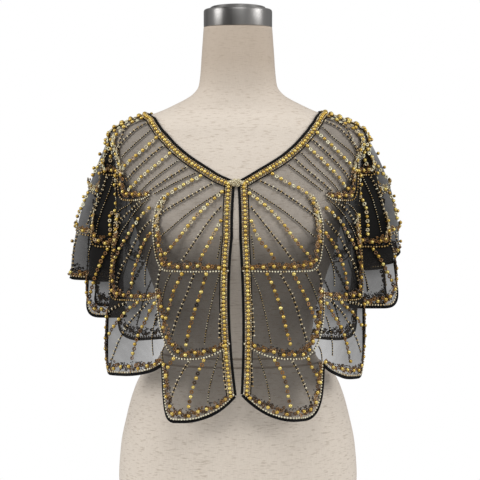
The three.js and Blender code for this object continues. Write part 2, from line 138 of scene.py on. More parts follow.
# The form's level sections: height, half width, and reach to the front and to the back
FORM_SECTIONS = table(
    "z half front back",
    [
        (0, 158, 103, 110),
        (6, 162, 106, 113),
        (50, 169, 110, 117),
        (100, 173, 112, 118),
        (145, 170, 111, 114),
        (190, 161, 108, 105),
        (222, 152, 104, 97),
        (248, 140, 99, 90),
        (268, 118, 93, 85),
        (292, 107, 89, 82),
        (335, 111, 92, 87),
        (385, 126, 105, 97),
        (430, 141, 121, 106),
        (455, 147, 125, 110),
        (500, 158, 116, 115),
        (545, 173, 100, 111),
        (572, 182, 89, 103),
        (586, 186, 82, 96),
        (596, 183.5, 78, 91),
        (603.5, 175, 75, 86),
        (610, 163, 71, 81),
        (615.5, 149, 68, 77),
        (622.5, 128, 63, 72),
        (629.5, 109, 59, 67),
        (637, 93, 56, 62),
        (645, 77, 54, 58),
        (653, 65, 52, 55),
        (664, 57, 51, 53),
        (680, 54.5, 50.5, 51),
        (715, 52, 49.5, 49.5),
        (749, 49.5, 48, 48),
    ],
)

# The necklines on the form: the direction from the front in degrees, and the height
NECKLINES = {
    Side.RIGHT: table(
        "angle z",
        [
            (2.4, 525),
            (9.3, 534),
            (14, 543),
            (18.6, 552),
            (23.2, 562),
            (28, 575),
            (32.6, 590),
            (38, 601),
            (43.5, 608),
            (54, 615.5),
            (92, 622.5),
            (128, 617),
            (155, 606),
            (180, 600),
        ],
    ),
    Side.LEFT: table(
        "angle z",
        [
            (0.9, 525),
            (6.2, 534),
            (11.1, 543),
            (16, 552),
            (20.8, 562),
            (25.5, 575),
            (30, 590),
            (34.7, 601),
            (40, 608),
            (49.5, 616),
            (66, 622),
            (92, 625.5),
            (128, 619.5),
            (155, 608),
            (180, 600),
        ],
    ),
}

# The folds of one side, from the front edge to the middle of the back. neck is the share of the
# neckline that a fold starts from, and it has turned to its angle by the height turn. It leaves the
# form at leave. x, y and hang are a point low on it, and bow moves it outwards halfway down.
FOLDS = table(
    "name neck angle turn leave x y hang bow",
    [
        ("front_edge", 0.0, 3.9, 452, 452, 4.7, -127, 228, 6.5),
        ("a_middle", 0.15, 26, 460, 455, 56, -130, 196, 2),
        ("a_b", 0.3, 50, 500, 486, 103, -113, 262, 3),
        ("b_middle", 0.4, 63, 545, 525, 146, -88, 258, 3),
        ("b_c", 0.47, 74, 580, 556, 185, -56, 262, 6),
        ("c_valley", 0.492, 79, 588, 566, 160, -38, 334, 2),
        ("c_d", 0.512, 84, 594, 593, 216, -26, 338, 6),
        ("d_valley", 0.526, 88, 595, 576, 176, -8, 386, 3),
        ("shoulder", 0.54, 92, 596, 596, 244, 6, 387, 8),
        ("seam", 0.545, 93.6, 596, 591, 223, 11, 386, 7),
        ("e_valley", 0.552, 96.5, 595, 576, 178, 20, 382, 3),
        ("e_f", 0.566, 101.5, 592, 593, 208, 36, 378, 7),
        ("f_valley", 0.585, 108, 585, 572, 168, 50, 355, 2),
        ("f_g", 0.625, 119, 570, 552, 174, 78, 345, 4),
        ("g_middle", 0.72, 135, 545, 528, 140, 106, 300, 0),
        ("g_h", 0.82, 153, 525, 512, 82, 122, 290, 0),
        ("back_middle", 1.0, 180, 505, 505, 0, 126, 257, 0),
    ],
)

# Where the left side hangs otherwise than the right
LEFT_FOLDS = {
    "front_edge": {"angle": 2, "x": 7, "bow": 3.6},
    "a_middle": {"x": 62},
    "a_b": {"x": 118, "y": -106},
    "b_middle": {"x": 152, "y": -82},
    "b_c": {"x": 177, "y": -50},
    "c_valley": {"x": 158, "y": -34, "hang": 350},
    "c_d": {"x": 229, "y": -24, "hang": 352},
    "d_valley": {"x": 180, "hang": 400},
    "shoulder": {"x": 234, "hang": 430, "bow": 9},
    "seam": {"x": 217, "hang": 425, "bow": 8},
    "e_valley": {"x": 182, "hang": 398},
    "e_f": {"x": 214, "hang": 396},
    "f_valley": {"x": 172, "hang": 375},
}

# Painted shade in the folds, standing in for their shade and the layers stacked in them: how much more the
# net covers high on its folds and low on them, and how far over the fold's hang height it starts to fade
NET_FOLD_SHADE = table(
    "name cover low over",
    [
        ("front_edge", 0, 0, 122),
        ("a_b", 0.12, 0.03, 88),
        ("b_middle", 0.36, 0.21, 97),
        ("b_c", 0.46, 0.22, 112),
        ("c_valley", 0.80, 0.19, 81),
        ("c_d", 0.58, 0.17, 82),
        ("d_valley", 0.60, 0.14, 29),
        ("shoulder", 0.10, 0.08, 3),
        ("seam", 0.12, 0.08, 4),
        ("e_valley", 0.45, 0, 8),
        ("f_valley", 0.30, -0.14, 25),
        ("f_g", 0.12, -0.16, 25),
        ("back_middle", 0, -0.06, 93),
    ],
)

# The scallops of the hem: the height of the cut edge at the inner end and at the lowest point, how far
# across that point lies, the height at the outer end, and how square the outer corner is
SCALLOPS = table(
    "inner outer start low low_at end squareness",
    [
        ("front_edge", "a_b", 231, 196, 0.82, 274, 4),
        ("a_b", "b_c", 274, 256, 0.84, 343, 4.4),
        ("b_c", "c_d", 343, 335, 0.72, 391, 3),
        ("c_d", "shoulder", 391, 387, 0.75, 391, 2),
        ("shoulder", "seam", 391, 390, 0.5, 390, 2),
        ("back_middle", "g_h", 260, 260, 0.2, 297, 2.6),
        ("g_h", "f_g", 297, 290, 0.6, 351, 2.8),
        ("f_g", "e_f", 351, 346, 0.8, 388, 3),
        ("e_f", "seam", 388, 384, 0.7, 390, 2),
    ],
)
FRONT_SCALLOPS = 5
LEFT_SCALLOPS = {
    "front_edge": {"start": 233, "low": 198, "low_at": 0.72, "squareness": 2.8},
    "a_b": {"low": 251, "low_at": 0.78, "end": 353, "squareness": 3},
    "b_c": {"start": 353, "low": 348, "end": 415},
    "c_d": {"start": 415, "low": 408, "low_at": 0.5, "end": 431, "squareness": 1.5},
    "shoulder": {"start": 431, "low": 426, "end": 425},
    "f_g": {"end": 403},
    "e_f": {"start": 403, "low": 400, "low_at": 0.5, "end": 425, "squareness": 1.5},
}


# Curves and surfaces


def hermite(
    t: np.ndarray,
    start: np.ndarray,
    end: np.ndarray,
    slope_start: np.ndarray,
    slope_end: np.ndarray,
) -> np.ndarray:
    """The cubic between two values with these end slopes, carried on straight past its end.

    Args:
        t: How far along, 0 at the start and 1 at the end.
        start: The first value.
        end: The last value.
        slope_start: The slope at the first value, a whole length.
        slope_end: The slope at the last value, a whole length.

    Returns:
        The cubic's values.
    """
    s = 1 - t
    cubic = (
        start * s * s * (1 + 2 * t)
        + end * t * t * (3 - 2 * t)
        + slope_start * t * s * s
        - slope_end * t * t * s
    )
    return np.where(t > 1, end + (t - 1) * slope_end, cubic)


class SmoothCurve:
    """A smooth curve through values at knots that never overshoots them."""

    def __init__(self, knots: list, values: list) -> None:
        """Works out the slopes.

        Args:
            knots: Where the values are, in growing order.
            values: The values.
        """
        self.knots = np.asarray(knots, float)
        self.values = np.asarray(values, float)
        self.gaps = np.diff(self.knots)
        rises = np.diff(self.values) / self.gaps
        slopes = np.empty_like(self.values)
        slopes[0], slopes[-1] = rises[0], rises[-1]
        before = 2 * self.gaps[1:] + self.gaps[:-1]
        after = self.gaps[1:] + 2 * self.gaps[:-1]
        same_way = rises[:-1] * rises[1:] > 0
        first = np.where(same_way, rises[:-1], 1)
        second = np.where(same_way, rises[1:], 1)
        mean = (before + after) / (before / first + after / second)
        slopes[1:-1] = np.where(same_way, mean, 0)
        self.slopes = slopes

    def __call__(self, at: np.ndarray) -> np.ndarray:
        """The curve's value at each of these places."""
        at = np.asarray(at, float)
        i = np.searchsorted(self.knots[1:-1], at, side="left")
        gap = self.gaps[i]
        t = (at - self.knots[i]) / gap
        return hermite(
            t, self.values[i], self.values[i + 1], self.slopes[i] * gap, self.slopes[i + 1] * gap
        )


def unit(vectors: np.ndarray) -> np.ndarray:
    """The same vectors, one long."""
    return vectors / np.maximum(np.linalg.norm(vectors, axis=-1, keepdims=True), 1e-9)


def normals_of(surface: Callable, across: np.ndarray, z: np.ndarray) -> np.ndarray:
    """The outward normals of a surface, from the cross product of its slopes both ways.

    Args:
        surface: A function of a place across the surface and a height that gives its points.
        across: Places across it.
        z: Heights.

    Returns:
        One normal a place, one long.
    """
    step = 0.5
    along = surface(across + step, z) - surface(across - step, z)
    up = surface(across, z + step) - surface(across, z - step)
    return unit(np.cross(along, up))


def walk_along(points: np.ndarray) -> np.ndarray:
    """How far each point lies along the line through them all."""
    steps = np.linalg.norm(np.diff(points, axis=0), axis=-1)
    return np.concatenate([[0.0], np.cumsum(steps)])


class FormShape:
    """The dress form's smooth surface, in millimetres."""

    def __init__(self) -> None:
        """Draws a curve through each of the sections' measures."""
        heights = [row["z"] for row in FORM_SECTIONS]
        self.curves = {
            column: SmoothCurve(heights, [row[column] for row in FORM_SECTIONS])
            for column in ("half", "front", "back")
        }

    def point(self, angle: np.ndarray, z: np.ndarray) -> np.ndarray:
        """Points of the surface: half an ellipse in front and another behind at each height.

        Args:
            angle: Directions from the front in degrees, growing towards the wearer's left.
            z: Heights.

        Returns:
            The points.
        """
        angle, z = np.broadcast_arrays(np.asarray(angle, float), np.asarray(z, float))
        turn = np.radians(angle)
        depth = np.where(np.cos(turn) > 0, self.curves["front"](z), self.curves["back"](z))
        return np.stack([self.curves["half"](z) * np.sin(turn), -depth * np.cos(turn), z], axis=-1)

    def off(self, angle: np.ndarray, z: np.ndarray, distance: float) -> np.ndarray:
        """Points off the surface.

        Args:
            angle: Directions from the front in degrees.
            z: Heights on the surface.
            distance: How far off it they are.

        Returns:
            The points.
        """
        return self.point(angle, z) + distance * normals_of(self.point, angle, z)


FORM = FormShape()


@dataclass(frozen=True)
class Crease:
    """A soft ridge or trough in the hanging cloth, as height off the drape in millimetres."""

    along: float
    top: float
    bottom: float
    drift: float
    height: float
    width: float

    def rise(self, along: np.ndarray, z: np.ndarray) -> np.ndarray:
        """How far the crease lifts the cloth: a bell curve across it that grows as a squared sine down it.

        Args:
            along: Places along the hem.
            z: Heights.

        Returns:
            The lift in millimetres.
        """
        share = np.clip((self.top - z) / (self.top - self.bottom), 0, 1)
        middle = self.along + self.drift * share
        across = np.exp(-(((along - middle) / self.width) ** 2))
        return self.height * np.sin(share * math.pi / 2) ** 2 * across


CREASES = {
    Side.RIGHT: [
        Crease(18, 430, 200, 6, 3.0, 12),
        Crease(52, 400, 200, -6, -2.6, 13),
        Crease(84, 440, 205, 10, 3.4, 12),
        Crease(128, 470, 260, -5, -3.2, 11),
        Crease(150, 430, 262, 9, 3.0, 9),
        Crease(566, 420, 300, 8, 3.5, 14),
        Crease(612, 450, 290, -6, -3.0, 12),
        Crease(668, 430, 285, 7, 4.0, 15),
        Crease(722, 410, 262, -4, -2.4, 13),
    ],
    Side.LEFT: [
        Crease(24, 410, 200, -5, -2.4, 12),
        Crease(58, 440, 200, 8, 3.2, 14),
        Crease(96, 420, 215, -8, -2.8, 12),
        Crease(134, 450, 256, 6, 3.4, 11),
        Crease(560, 430, 310, -7, 3.2, 13),
        Crease(625, 440, 288, 6, 3.6, 14),
        Crease(690, 420, 280, -8, -2.8, 12),
        Crease(735, 400, 262, 5, 3.0, 14),
    ],
}


class Drape:
    """One side of the cloth: its surface, its cut edges and its named folds."""

    def __init__(self, side: Side) -> None:
        """Works out the folds, the neckline and the scallops of a side, and bakes its surface.

        Args:
            side: The side.
        """
        self.side = side
        changes = LEFT_FOLDS if side is Side.LEFT else {}
        rows = [{**row, **changes.get(row["name"], {})} for row in FOLDS]
        spots = np.array([(row["x"], row["y"]) for row in rows], float)
        knots = walk_along(spots)
        self.places = {row["name"]: knot for row, knot in zip(rows, knots)}
        self.fold = {
            column: SmoothCurve(knots, [row[column] for row in rows])
            for column in ("neck", "angle", "turn", "leave", "x", "y", "hang", "bow")
        }
        neck = NECKLINES[side]
        angles = np.array([row["angle"] for row in neck], float)
        heights = np.array([row["z"] for row in neck], float)
        walk = walk_along(FORM.off(angles, heights, CLOTH_CLEARANCE))
        self.neck_angle = SmoothCurve(walk / walk[-1], angles)
        self.neck_height = SmoothCurve(walk / walk[-1], heights)
        hems = LEFT_SCALLOPS if side is Side.LEFT else {}
        self.scallops = [{**row, **hems.get(row["inner"], {})} for row in SCALLOPS]
        self.grid = self._bake()

    def _bake(self) -> np.ndarray:
        along = np.linspace(0, self.places["back_middle"], GRID_COLUMNS)[:, None]
        top = self.top(along)
        z = top + GRID_ABOVE - (top + GRID_ABOVE - GRID_BOTTOM) * np.linspace(0, 1, GRID_ROWS)
        points = self.point(along, z)
        across = np.gradient(points, axis=0)
        up = -np.gradient(points, axis=1)
        outward = unit(np.cross(across, up)) * self.side.value
        return np.concatenate([points, outward], axis=-1)

    def spot(self, along: np.ndarray, z: np.ndarray) -> tuple:
        """Looks places up in the baked grid, evenly between its four nearest points.

        Args:
            along: Places along the hem.
            z: Heights.

        Returns:
            Points of the cloth and its outward normals, in the row's frame.
        """
        top = self.top(along) + GRID_ABOVE
        i = np.clip(along / self.places["back_middle"], 0, 1) * (GRID_COLUMNS - 1)
        j = np.clip((top - z) / (top - GRID_BOTTOM), 0, 1) * (GRID_ROWS - 1)
        i0 = np.minimum(i.astype(int), GRID_COLUMNS - 2)
        j0 = np.minimum(j.astype(int), GRID_ROWS - 2)
        a, b = (i - i0)[:, None], (j - j0)[:, None]
        values = (
            self.grid[i0, j0] * (1 - a) * (1 - b)
            + self.grid[i0 + 1, j0] * a * (1 - b)
            + self.grid[i0, j0 + 1] * (1 - a) * b
            + self.grid[i0 + 1, j0 + 1] * a * b
        )
        return values[:, :3], unit(values[:, 3:])

    def top(self, along: np.ndarray) -> np.ndarray:
        """The height of the neckline above these places on the hem."""
        return self.neck_height(self.fold["neck"](along))

    def lie(self, along: np.ndarray, z: np.ndarray) -> np.ndarray:
        """The cloth's middle surface without its creases, before its side is mirrored.

        It lies on the form, turning evenly slower from the neckline to its fold's angle, until it leaves
        the form. From there it is a cubic down to a point low on its fold, with a bow halfway.

        Args:
            along: Places along the hem.
            z: Heights.

        Returns:
            The points.
        """
        along, z = np.broadcast_arrays(np.asarray(along, float), np.asarray(z, float))
        start = self.top(along)
        leave = self.fold["leave"](along)
        start_angle = self.neck_angle(self.fold["neck"](along))
        turn = self.fold["angle"](along) - start_angle
        turned = start - self.fold["turn"](along)

        def on_form(height: np.ndarray) -> np.ndarray:
            """The cloth's points at these heights while it lies on the form."""
            share = np.minimum(1, (start - height) / turned)
            return FORM.off(start_angle + turn * share * (2 - share), height, CLOTH_CLEARANCE)

        resting = on_form(np.maximum(z, leave))
        above = on_form(leave + 1)
        share = np.maximum(0, leave - z) / (leave - self.fold["hang"](along))
        bow = 4 * self.fold["bow"](along) * share * np.maximum(0, 1 - share)
        hanging = [
            hermite(
                share,
                resting[..., axis],
                self.fold[name](along),
                (resting[..., axis] - above[..., axis]) * LEAVE_REACH,
                (self.fold[name](along) - resting[..., axis]) * HANG_SLOPE,
            )
            for axis, name in enumerate("xy")
        ]
        low = np.stack([hanging[0] + bow, hanging[1], z], axis=-1)
        return np.where((z >= leave)[..., None], resting, low)

    def point(self, along: np.ndarray, z: np.ndarray) -> np.ndarray:
        """Points of the cloth in the row's frame: its middle surface, lifted by its creases.

        Args:
            along: Places along the hem.
            z: Heights.

        Returns:
            The points.
        """
        outward = normals_of(self.lie, along, z)
        lift = sum(crease.rise(along, z) for crease in CREASES[self.side])
        place = self.lie(along, z) + np.broadcast_to(lift, outward.shape[:-1])[..., None] * outward
        return place * (self.side.value, 1, 1)

    def arc(self, scallop: dict) -> np.ndarray:
        """A scalloped line: a power curve down to its lowest point, then a rounded square corner.

        Args:
            scallop: A row of SCALLOPS or FANS.

        Returns:
            Places and heights from its inner end to the top of its outer corner.
        """
        inner, outer = self.places[scallop["inner"]], self.places[scallop["outer"]]
        start, low, end = scallop["start"], scallop["low"], scallop["end"]
        lowest = inner + (outer - inner) * scallop["low_at"]
        share = np.linspace(0, 1, ARC_STEPS)
        rise = np.stack(
            [inner + (lowest - inner) * share, low + (start - low) * (1 - share) ** INNER_RISE], 1
        )
        power = 2 / scallop["squareness"]
        turn = share[1:] * math.pi / 2
        corner = np.stack(
            [
                lowest + (outer - lowest) * np.sin(turn) ** power,
                low + (end - low) * (1 - np.abs(np.cos(turn)) ** power),
            ],
            1,
        )
        if scallop.get("tuck"):
            height = np.clip((corner[:, 1] - low) / (end - low) * 2 - 1, 0, 1)
            corner[:, 0] -= scallop["tuck"] * (outer - inner) * height**2
        return np.concatenate([rise, corner])

    def hem(self, part: str) -> np.ndarray:
        """The cut hem of the front, or of this side's half of the back, from its inner end."""
        rows = self.scallops
        rows = rows[:FRONT_SCALLOPS] if part == "front" else rows[FRONT_SCALLOPS:]
        arcs = [self.arc(row) for row in rows]
        return np.concatenate([arcs[0]] + [arc[1:] for arc in arcs[1:]])

    def neckline(self, start: str, end: str) -> np.ndarray:
        """The cut neckline.

        Args:
            start: The fold that it runs from.
            end: The fold that it runs to.

        Returns:
            Places and heights.
        """
        along = np.linspace(self.places[start], self.places[end], FINE_STEPS)
        return np.stack([along, self.top(along)], 1)

    def front_edge(self) -> np.ndarray:
        """The cut front edge from the neckline down to the hem."""
        heights = np.linspace(float(self.top(0)), self.scallops[0]["start"], FINE_STEPS)
        return np.stack([np.zeros_like(heights), heights], 1)

    def cover(self, along: np.ndarray, z: np.ndarray) -> np.ndarray:
        """How much the net hides of what is behind it: more where it hangs free, most in its folds, both
        painted shade.

        Args:
            along: Places along the hem.
            z: Heights.

        Returns:
            Shares, which the net's material reads as its alpha.
        """
        free = np.clip((self.fold["leave"](along) - z) / NET_FREE_DEPTH, 0, 1)
        folds = [self.places[row["name"]] for row in NET_FOLD_SHADE]
        more, low, over = (
            np.interp(along, folds, [row[column] for row in NET_FOLD_SHADE])
            for column in ("cover", "low", "over")
        )
        # Painted shade in the folds, fading out above each fold's hang height.
        above = np.clip(1 - (self.fold["hang"](along) + over - z) / NET_FOLD_SHADE_FADE_DEPTH, 0, 1)
        folded = (low + (more - low) * above) * np.clip(free * FOLD_SHADE_GROWTH, FOLD_SHADE_FIRST_SHARE, 1)
        # The hanging share and the folds' share are painted shade over the net's own cover.
        return NET_COVER + free * np.interp(z, *NET_HANGING_SHADE) + folded

    def shift(self, line: np.ndarray, moves: np.ndarray) -> np.ndarray:
        """Moves a line over the cloth, by solving for the place and height that make each move.

        Args:
            line: Places and heights.
            moves: One move a place in millimetres, of which the part along the cloth counts.

        Returns:
            The line's new places and heights.
        """
        along, z = line[:, 0], line[:, 1]
        before, after = np.maximum(along - 1, 0), along + 1
        across = (self.spot(after, z)[0] - self.spot(before, z)[0]) / (after - before)[:, None]
        up = (self.spot(along, z + 1)[0] - self.spot(along, z - 1)[0]) / 2
        first, both, second = ((a * b).sum(1) for a, b in ((across, across), (across, up), (up, up)))
        aside, rise = (moves * across).sum(1), (moves * up).sum(1)
        scale = np.maximum(first * second - both**2, LEAST_SCALE)
        moved = [(second * aside - both * rise) / scale, (first * rise - both * aside) / scale]
        return line + np.clip(np.stack(moved, 1), -LONGEST_MOVE, LONGEST_MOVE)

    def straight(self, start: np.ndarray, end: np.ndarray) -> np.ndarray:
        """The line on the cloth that looks straight between two places.

        Args:
            start: The first place and height.
            end: The last place and height.

        Returns:
            Places and heights, moved a few times towards the chord between the two.
        """
        share = np.linspace(0, 1, STRAIGHT_STEPS)[:, None]
        line = start + (end - start) * share
        ends = self.spot(line[[0, -1], 0], line[[0, -1], 1])[0]
        chord = ends[:1] + (ends[1:] - ends[:1]) * share
        for _ in range(STRAIGHT_ROUNDS):
            line = self.shift(line, chord - self.spot(line[:, 0], line[:, 1])[0])
        return line

    def rightwards(self, line: np.ndarray) -> np.ndarray:
        """Steps of one millimetre to the right of a line, seen from outside the unmirrored side."""
        spots, outward = self.spot(line[:, 0], line[:, 1])
        tangent = unit(np.gradient(spots, axis=0))
        return unit(np.cross(tangent, outward)) * self.side.value

    def measure(self, line: np.ndarray) -> np.ndarray:
        """How far each place of a line is along it, on the cloth."""
        return walk_along(self.spot(line[:, 0], line[:, 1])[0])

    def resample(self, line: np.ndarray, step: float) -> np.ndarray:
        """The same line in even steps.

        Args:
            line: Places and heights.
            step: About how long a step is on the cloth.

        Returns:
            Places and heights.
        """
        walk = self.measure(line)
        count = max(2, int(round(walk[-1] / step)) + 1)
        at = np.linspace(0, walk[-1], count)
        return np.stack([np.interp(at, walk, line[:, i]) for i in (0, 1)], 1)

    def beside(self, line: np.ndarray, distance: np.ndarray, out: float) -> tuple:
        """Points beside a line on the cloth and off it.

        Args:
            line: Places and heights.
            distance: How far to the right of the line, seen from outside the unmirrored side.
            out: How far off the cloth's middle surface.

        Returns:
            The points, their tangents and the cloth's outward normals, in the row's frame.
        """
        spots, outward = self.spot(line[:, 0], line[:, 1])
        tangent = unit(np.gradient(spots, axis=0))
        side = unit(np.cross(tangent, outward)) * self.side.value
        points = spots + side * np.broadcast_to(distance, len(spots))[:, None] + outward * out
        return points, tangent, outward


DRAPES = {side: Drape(side) for side in Side}


# Meshes


def new_object(
    name: str,
    vertices: np.ndarray,
    faces: np.ndarray,
    material: bpy.types.Material,
    uvs: np.ndarray | None = None,
    tone: np.ndarray | None = None,
    closed: bool = True,
) -> bpy.types.Object:
    """Makes a smooth mesh object from whole arrays.

    Args:
        name: The piece's name.
        vertices: Points in millimetres in the row's frame.
        faces: Corner numbers, all triangles or all quads.
        material: Its material.
        uvs: One UV pair a vertex.
        tone: One value a vertex, which the material reads as the attribute "tone".
        closed: Whether its normals can be worked out as pointing out of a closed form.

    Returns:
        The object, riding on the part's one body.
    """
    faces = np.asarray(faces, np.int32)
    mesh = bpy.data.meshes.new(name)
    mesh.vertices.add(len(vertices))
    mesh.vertices.foreach_set("co", (np.asarray(vertices) * METRES).astype(np.float32).ravel())
    mesh.loops.add(faces.size)
    mesh.loops.foreach_set("vertex_index", faces.ravel())
    mesh.polygons.add(len(faces))
    mesh.polygons.foreach_set("loop_start", np.arange(len(faces), dtype=np.int32) * faces.shape[1])
    mesh.update(calc_edges=True)
    mesh.polygons.foreach_set("use_smooth", np.ones(len(faces), bool))
    if uvs is not None:
        layer = mesh.uv_layers.new(name="cloth")
        layer.data.foreach_set("uv", uvs[faces.ravel()].astype(np.float32).ravel())
    if tone is not None:
        mesh.attributes.new("tone", "FLOAT", "POINT").data.foreach_set("value", tone.astype(np.float32))
    if closed:
        shape = bmesh.new()
        shape.from_mesh(mesh)
        bmesh.ops.recalc_face_normals(shape, faces=shape.faces)
        shape.to_mesh(mesh)
        shape.free()
    mesh.materials.append(material)
    piece = bpy.data.objects.new(name, mesh)
    bpy.context.scene.collection.objects.link(piece)
    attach(piece, "root")
    log.info("%s: %d triangles", name, len(faces) * (faces.shape[1] - 2))
    return piece


def grid_faces(columns: int, rows: int, wrap: bool = False) -> np.ndarray:
    """Quads over a grid of points stored column by column.

    Args:
        columns: The number of columns.
        rows: The number of points a column.
        wrap: Whether each column closes on itself.

    Returns:
        Four point numbers a quad.
    """
    i, j = np.meshgrid(np.arange(columns - 1), np.arange(rows if wrap else rows - 1), indexing="ij")
    here, below = i * rows + j, i * rows + (j + 1) % rows
    return np.stack([here, below, below + rows, here + rows], -1).reshape(-1, 4)


@dataclass
class Tube:
    """A strip of one closed section swept along lines, as arrays for one mesh."""

    section: np.ndarray = field(default_factory=lambda: np.zeros((0, 2)))
    points: list = field(default_factory=list)
    faces: list = field(default_factory=list)
    count: int = 0

    def sweep(self, drape: Drape, line: np.ndarray) -> None:
        """Adds the section along a line, closed at both ends.

        Args:
            drape: The side that it lies on.
            line: Places and heights.
        """
        spots, tangent, outward = drape.beside(line, 0, 0)
        side = unit(np.cross(tangent, outward)) * drape.side.value
        self.add(
            spots[:, None]
            + side[:, None] * self.section[None, :, :1]
            + outward[:, None] * self.section[None, :, 1:]
        )

    def add(self, rings: np.ndarray) -> None:
        """Adds rings of points as one closed strip with a point in the middle of each end."""
        count, around = rings.shape[:2]
        middles = rings[[0, -1]].mean(axis=1, keepdims=True).repeat(around, 1)
        rings = np.concatenate([middles[:1], rings, middles[1:]])
        self.points.append(rings.reshape(-1, 3))
        self.faces.append(grid_faces(count + 2, around, wrap=True) + self.count)
        self.count += rings.shape[0] * around

    def build(self, name: str, material: bpy.types.Material) -> bpy.types.Object:
        """Makes the strip's object.

        Args:
            name: The piece's name.
            material: Its material.
        """
        return new_object(name, np.concatenate(self.points), np.concatenate(self.faces), material)


def ellipse(width: float, height: float, beside: float, out: float, sides: int = 12) -> np.ndarray:
    """An oval section.

    Args:
        width: Its width.
        height: Its height.
        beside: How far its middle lies beside the line.
        out: How far its middle lies off the cloth.
        sides: The number of its corners.

    Returns:
        Its corners, as distances beside the line and off the cloth.
    """
    turn = np.linspace(0, 2 * math.pi, sides, endpoint=False)
    return np.stack([beside + np.cos(turn) * width / 2, out + np.sin(turn) * height / 2], 1)


def turned(outline: np.ndarray, sides: int) -> np.ndarray:
    """A grid of points, one copy of an outline after another round the upright axis.

    Args:
        outline: Distances from the axis and heights.
        sides: The number of copies.

    Returns:
        The points, copy by copy.
    """
    turn = np.linspace(0, 2 * math.pi, sides, endpoint=False)
    return np.stack(
        [
            np.outer(np.cos(turn), outline[:, 0]),
            np.outer(np.sin(turn), outline[:, 0]),
            np.tile(outline[:, 1], (sides, 1)),
        ],
        -1,
    )


# A sequin's outline, one across, and how much painted shade darkens a bead at its widest against its top,
# twice that on the side that faces the cloth
SEQUIN_PROFILE = np.array([(0.15, 0.0), (0.33, 0.17), (0.5, 0.1), (0.34, 0.04)])
SEQUIN_SIDES = 10
BALL_RIM_SHADE = 0.38


class BeadShape(Enum):
    """The kinds of beads and sequins."""

    GOLD = "gold"
    SEED = "seed"
    SEQUIN = "sequin"

    @property
    def rim(self) -> float:
        """How much painted shade darkens the shape at its widest against its top."""
        return 0.0 if self is BeadShape.SEQUIN else BALL_RIM_SHADE

    def mesh(self) -> tuple:
        """The shape's points, one across, and its triangles."""
        if self is BeadShape.SEQUIN:
            points = turned(SEQUIN_PROFILE, SEQUIN_SIDES).reshape(-1, 3)
            quads = grid_faces(SEQUIN_SIDES + 1, len(SEQUIN_PROFILE), wrap=True) % len(points)
            return points, np.concatenate([quads[:, :3], quads[:, [0, 2, 3]]])
        shape = bmesh.new()
        bmesh.ops.create_icosphere(
            shape, subdivisions=2 if self is BeadShape.GOLD else 1, radius=0.5
        )
        points = np.array([vertex.co[:] for vertex in shape.verts])
        faces = np.array([[vertex.index for vertex in face.verts] for face in shape.faces])
        shape.free()
        return points, faces


@dataclass
class Beads:
    """Many beads of one kind, gathered for one mesh."""

    shape: BeadShape
    places: list = field(default_factory=list)
    frames: list = field(default_factory=list)
    sizes: list = field(default_factory=list)
    tones: list = field(default_factory=list)

    def add(
        self,
        points: np.ndarray,
        tangent: np.ndarray,
        outward: np.ndarray,
        size: np.ndarray,
        tone: np.ndarray,
    ) -> None:
        """Adds beads at points.

        Args:
            points: Their middles, in millimetres.
            tangent: The way their string runs.
            outward: The way off the cloth.
            size: Their sizes across.
            tone: Their tones, from 0, dark, to 1, pale.
        """
        side = unit(np.cross(outward, tangent))
        self.places.append(points)
        self.frames.append(np.stack([unit(np.cross(side, outward)), side, outward], 1))
        self.sizes.append(np.broadcast_to(size, len(points)))
        self.tones.append(np.broadcast_to(tone, len(points)))

    def build(self, name: str, material: bpy.types.Material) -> bpy.types.Object:
        """Makes one object of all the beads.

        Args:
            name: The piece's name.
            material: Its material.
        """
        base, faces = self.shape.mesh()
        places, frames = np.concatenate(self.places), np.concatenate(self.frames)
        sizes, tones = np.concatenate(self.sizes), np.concatenate(self.tones)
        points = np.einsum("vk,nkj->nvj", base, frames) * sizes[:, None, None] + places[:, None]
        every = faces[None] + (np.arange(len(places)) * len(base))[:, None, None]
        return new_object(
            name,
            points.reshape(-1, 3),
            every.reshape(-1, 3),
            material,
            # The tone gets painted shade, darker towards each bead's widest part and darker still on the side
            # that faces the cloth
            tone=(tones[:, None] - self.shape.rim * (1 - 2 * base[None, :, 2])).ravel(),
            closed=False,
        )


# Materials


class Wire:
    """An output socket of a shader node that can be used in sums."""

    def __init__(self, shader: "Shader", socket: bpy.types.NodeSocket) -> None:
        """Keeps the socket and the material that it is in.

        Args:
            shader: The material.
            socket: The socket.
        """
        self.shader = shader
        self.socket = socket

    def _maths(self, operation: str, other: object) -> "Wire":
        """A Math node on this wire and another.

        Args:
            operation: What it does.
            other: A wire or a number.
        """
        return self.shader.node(
            "ShaderNodeMath", inputs={0: self, 1: other}, operation=operation
        )

    def __add__(self, other: object) -> "Wire":
        """The sum of the two."""
        return self._maths("ADD", other)

    def __mul__(self, other: object) -> "Wire":
        """The product of the two."""
        return self._maths("MULTIPLY", other)

    __radd__ = __add__
    __rmul__ = __mul__


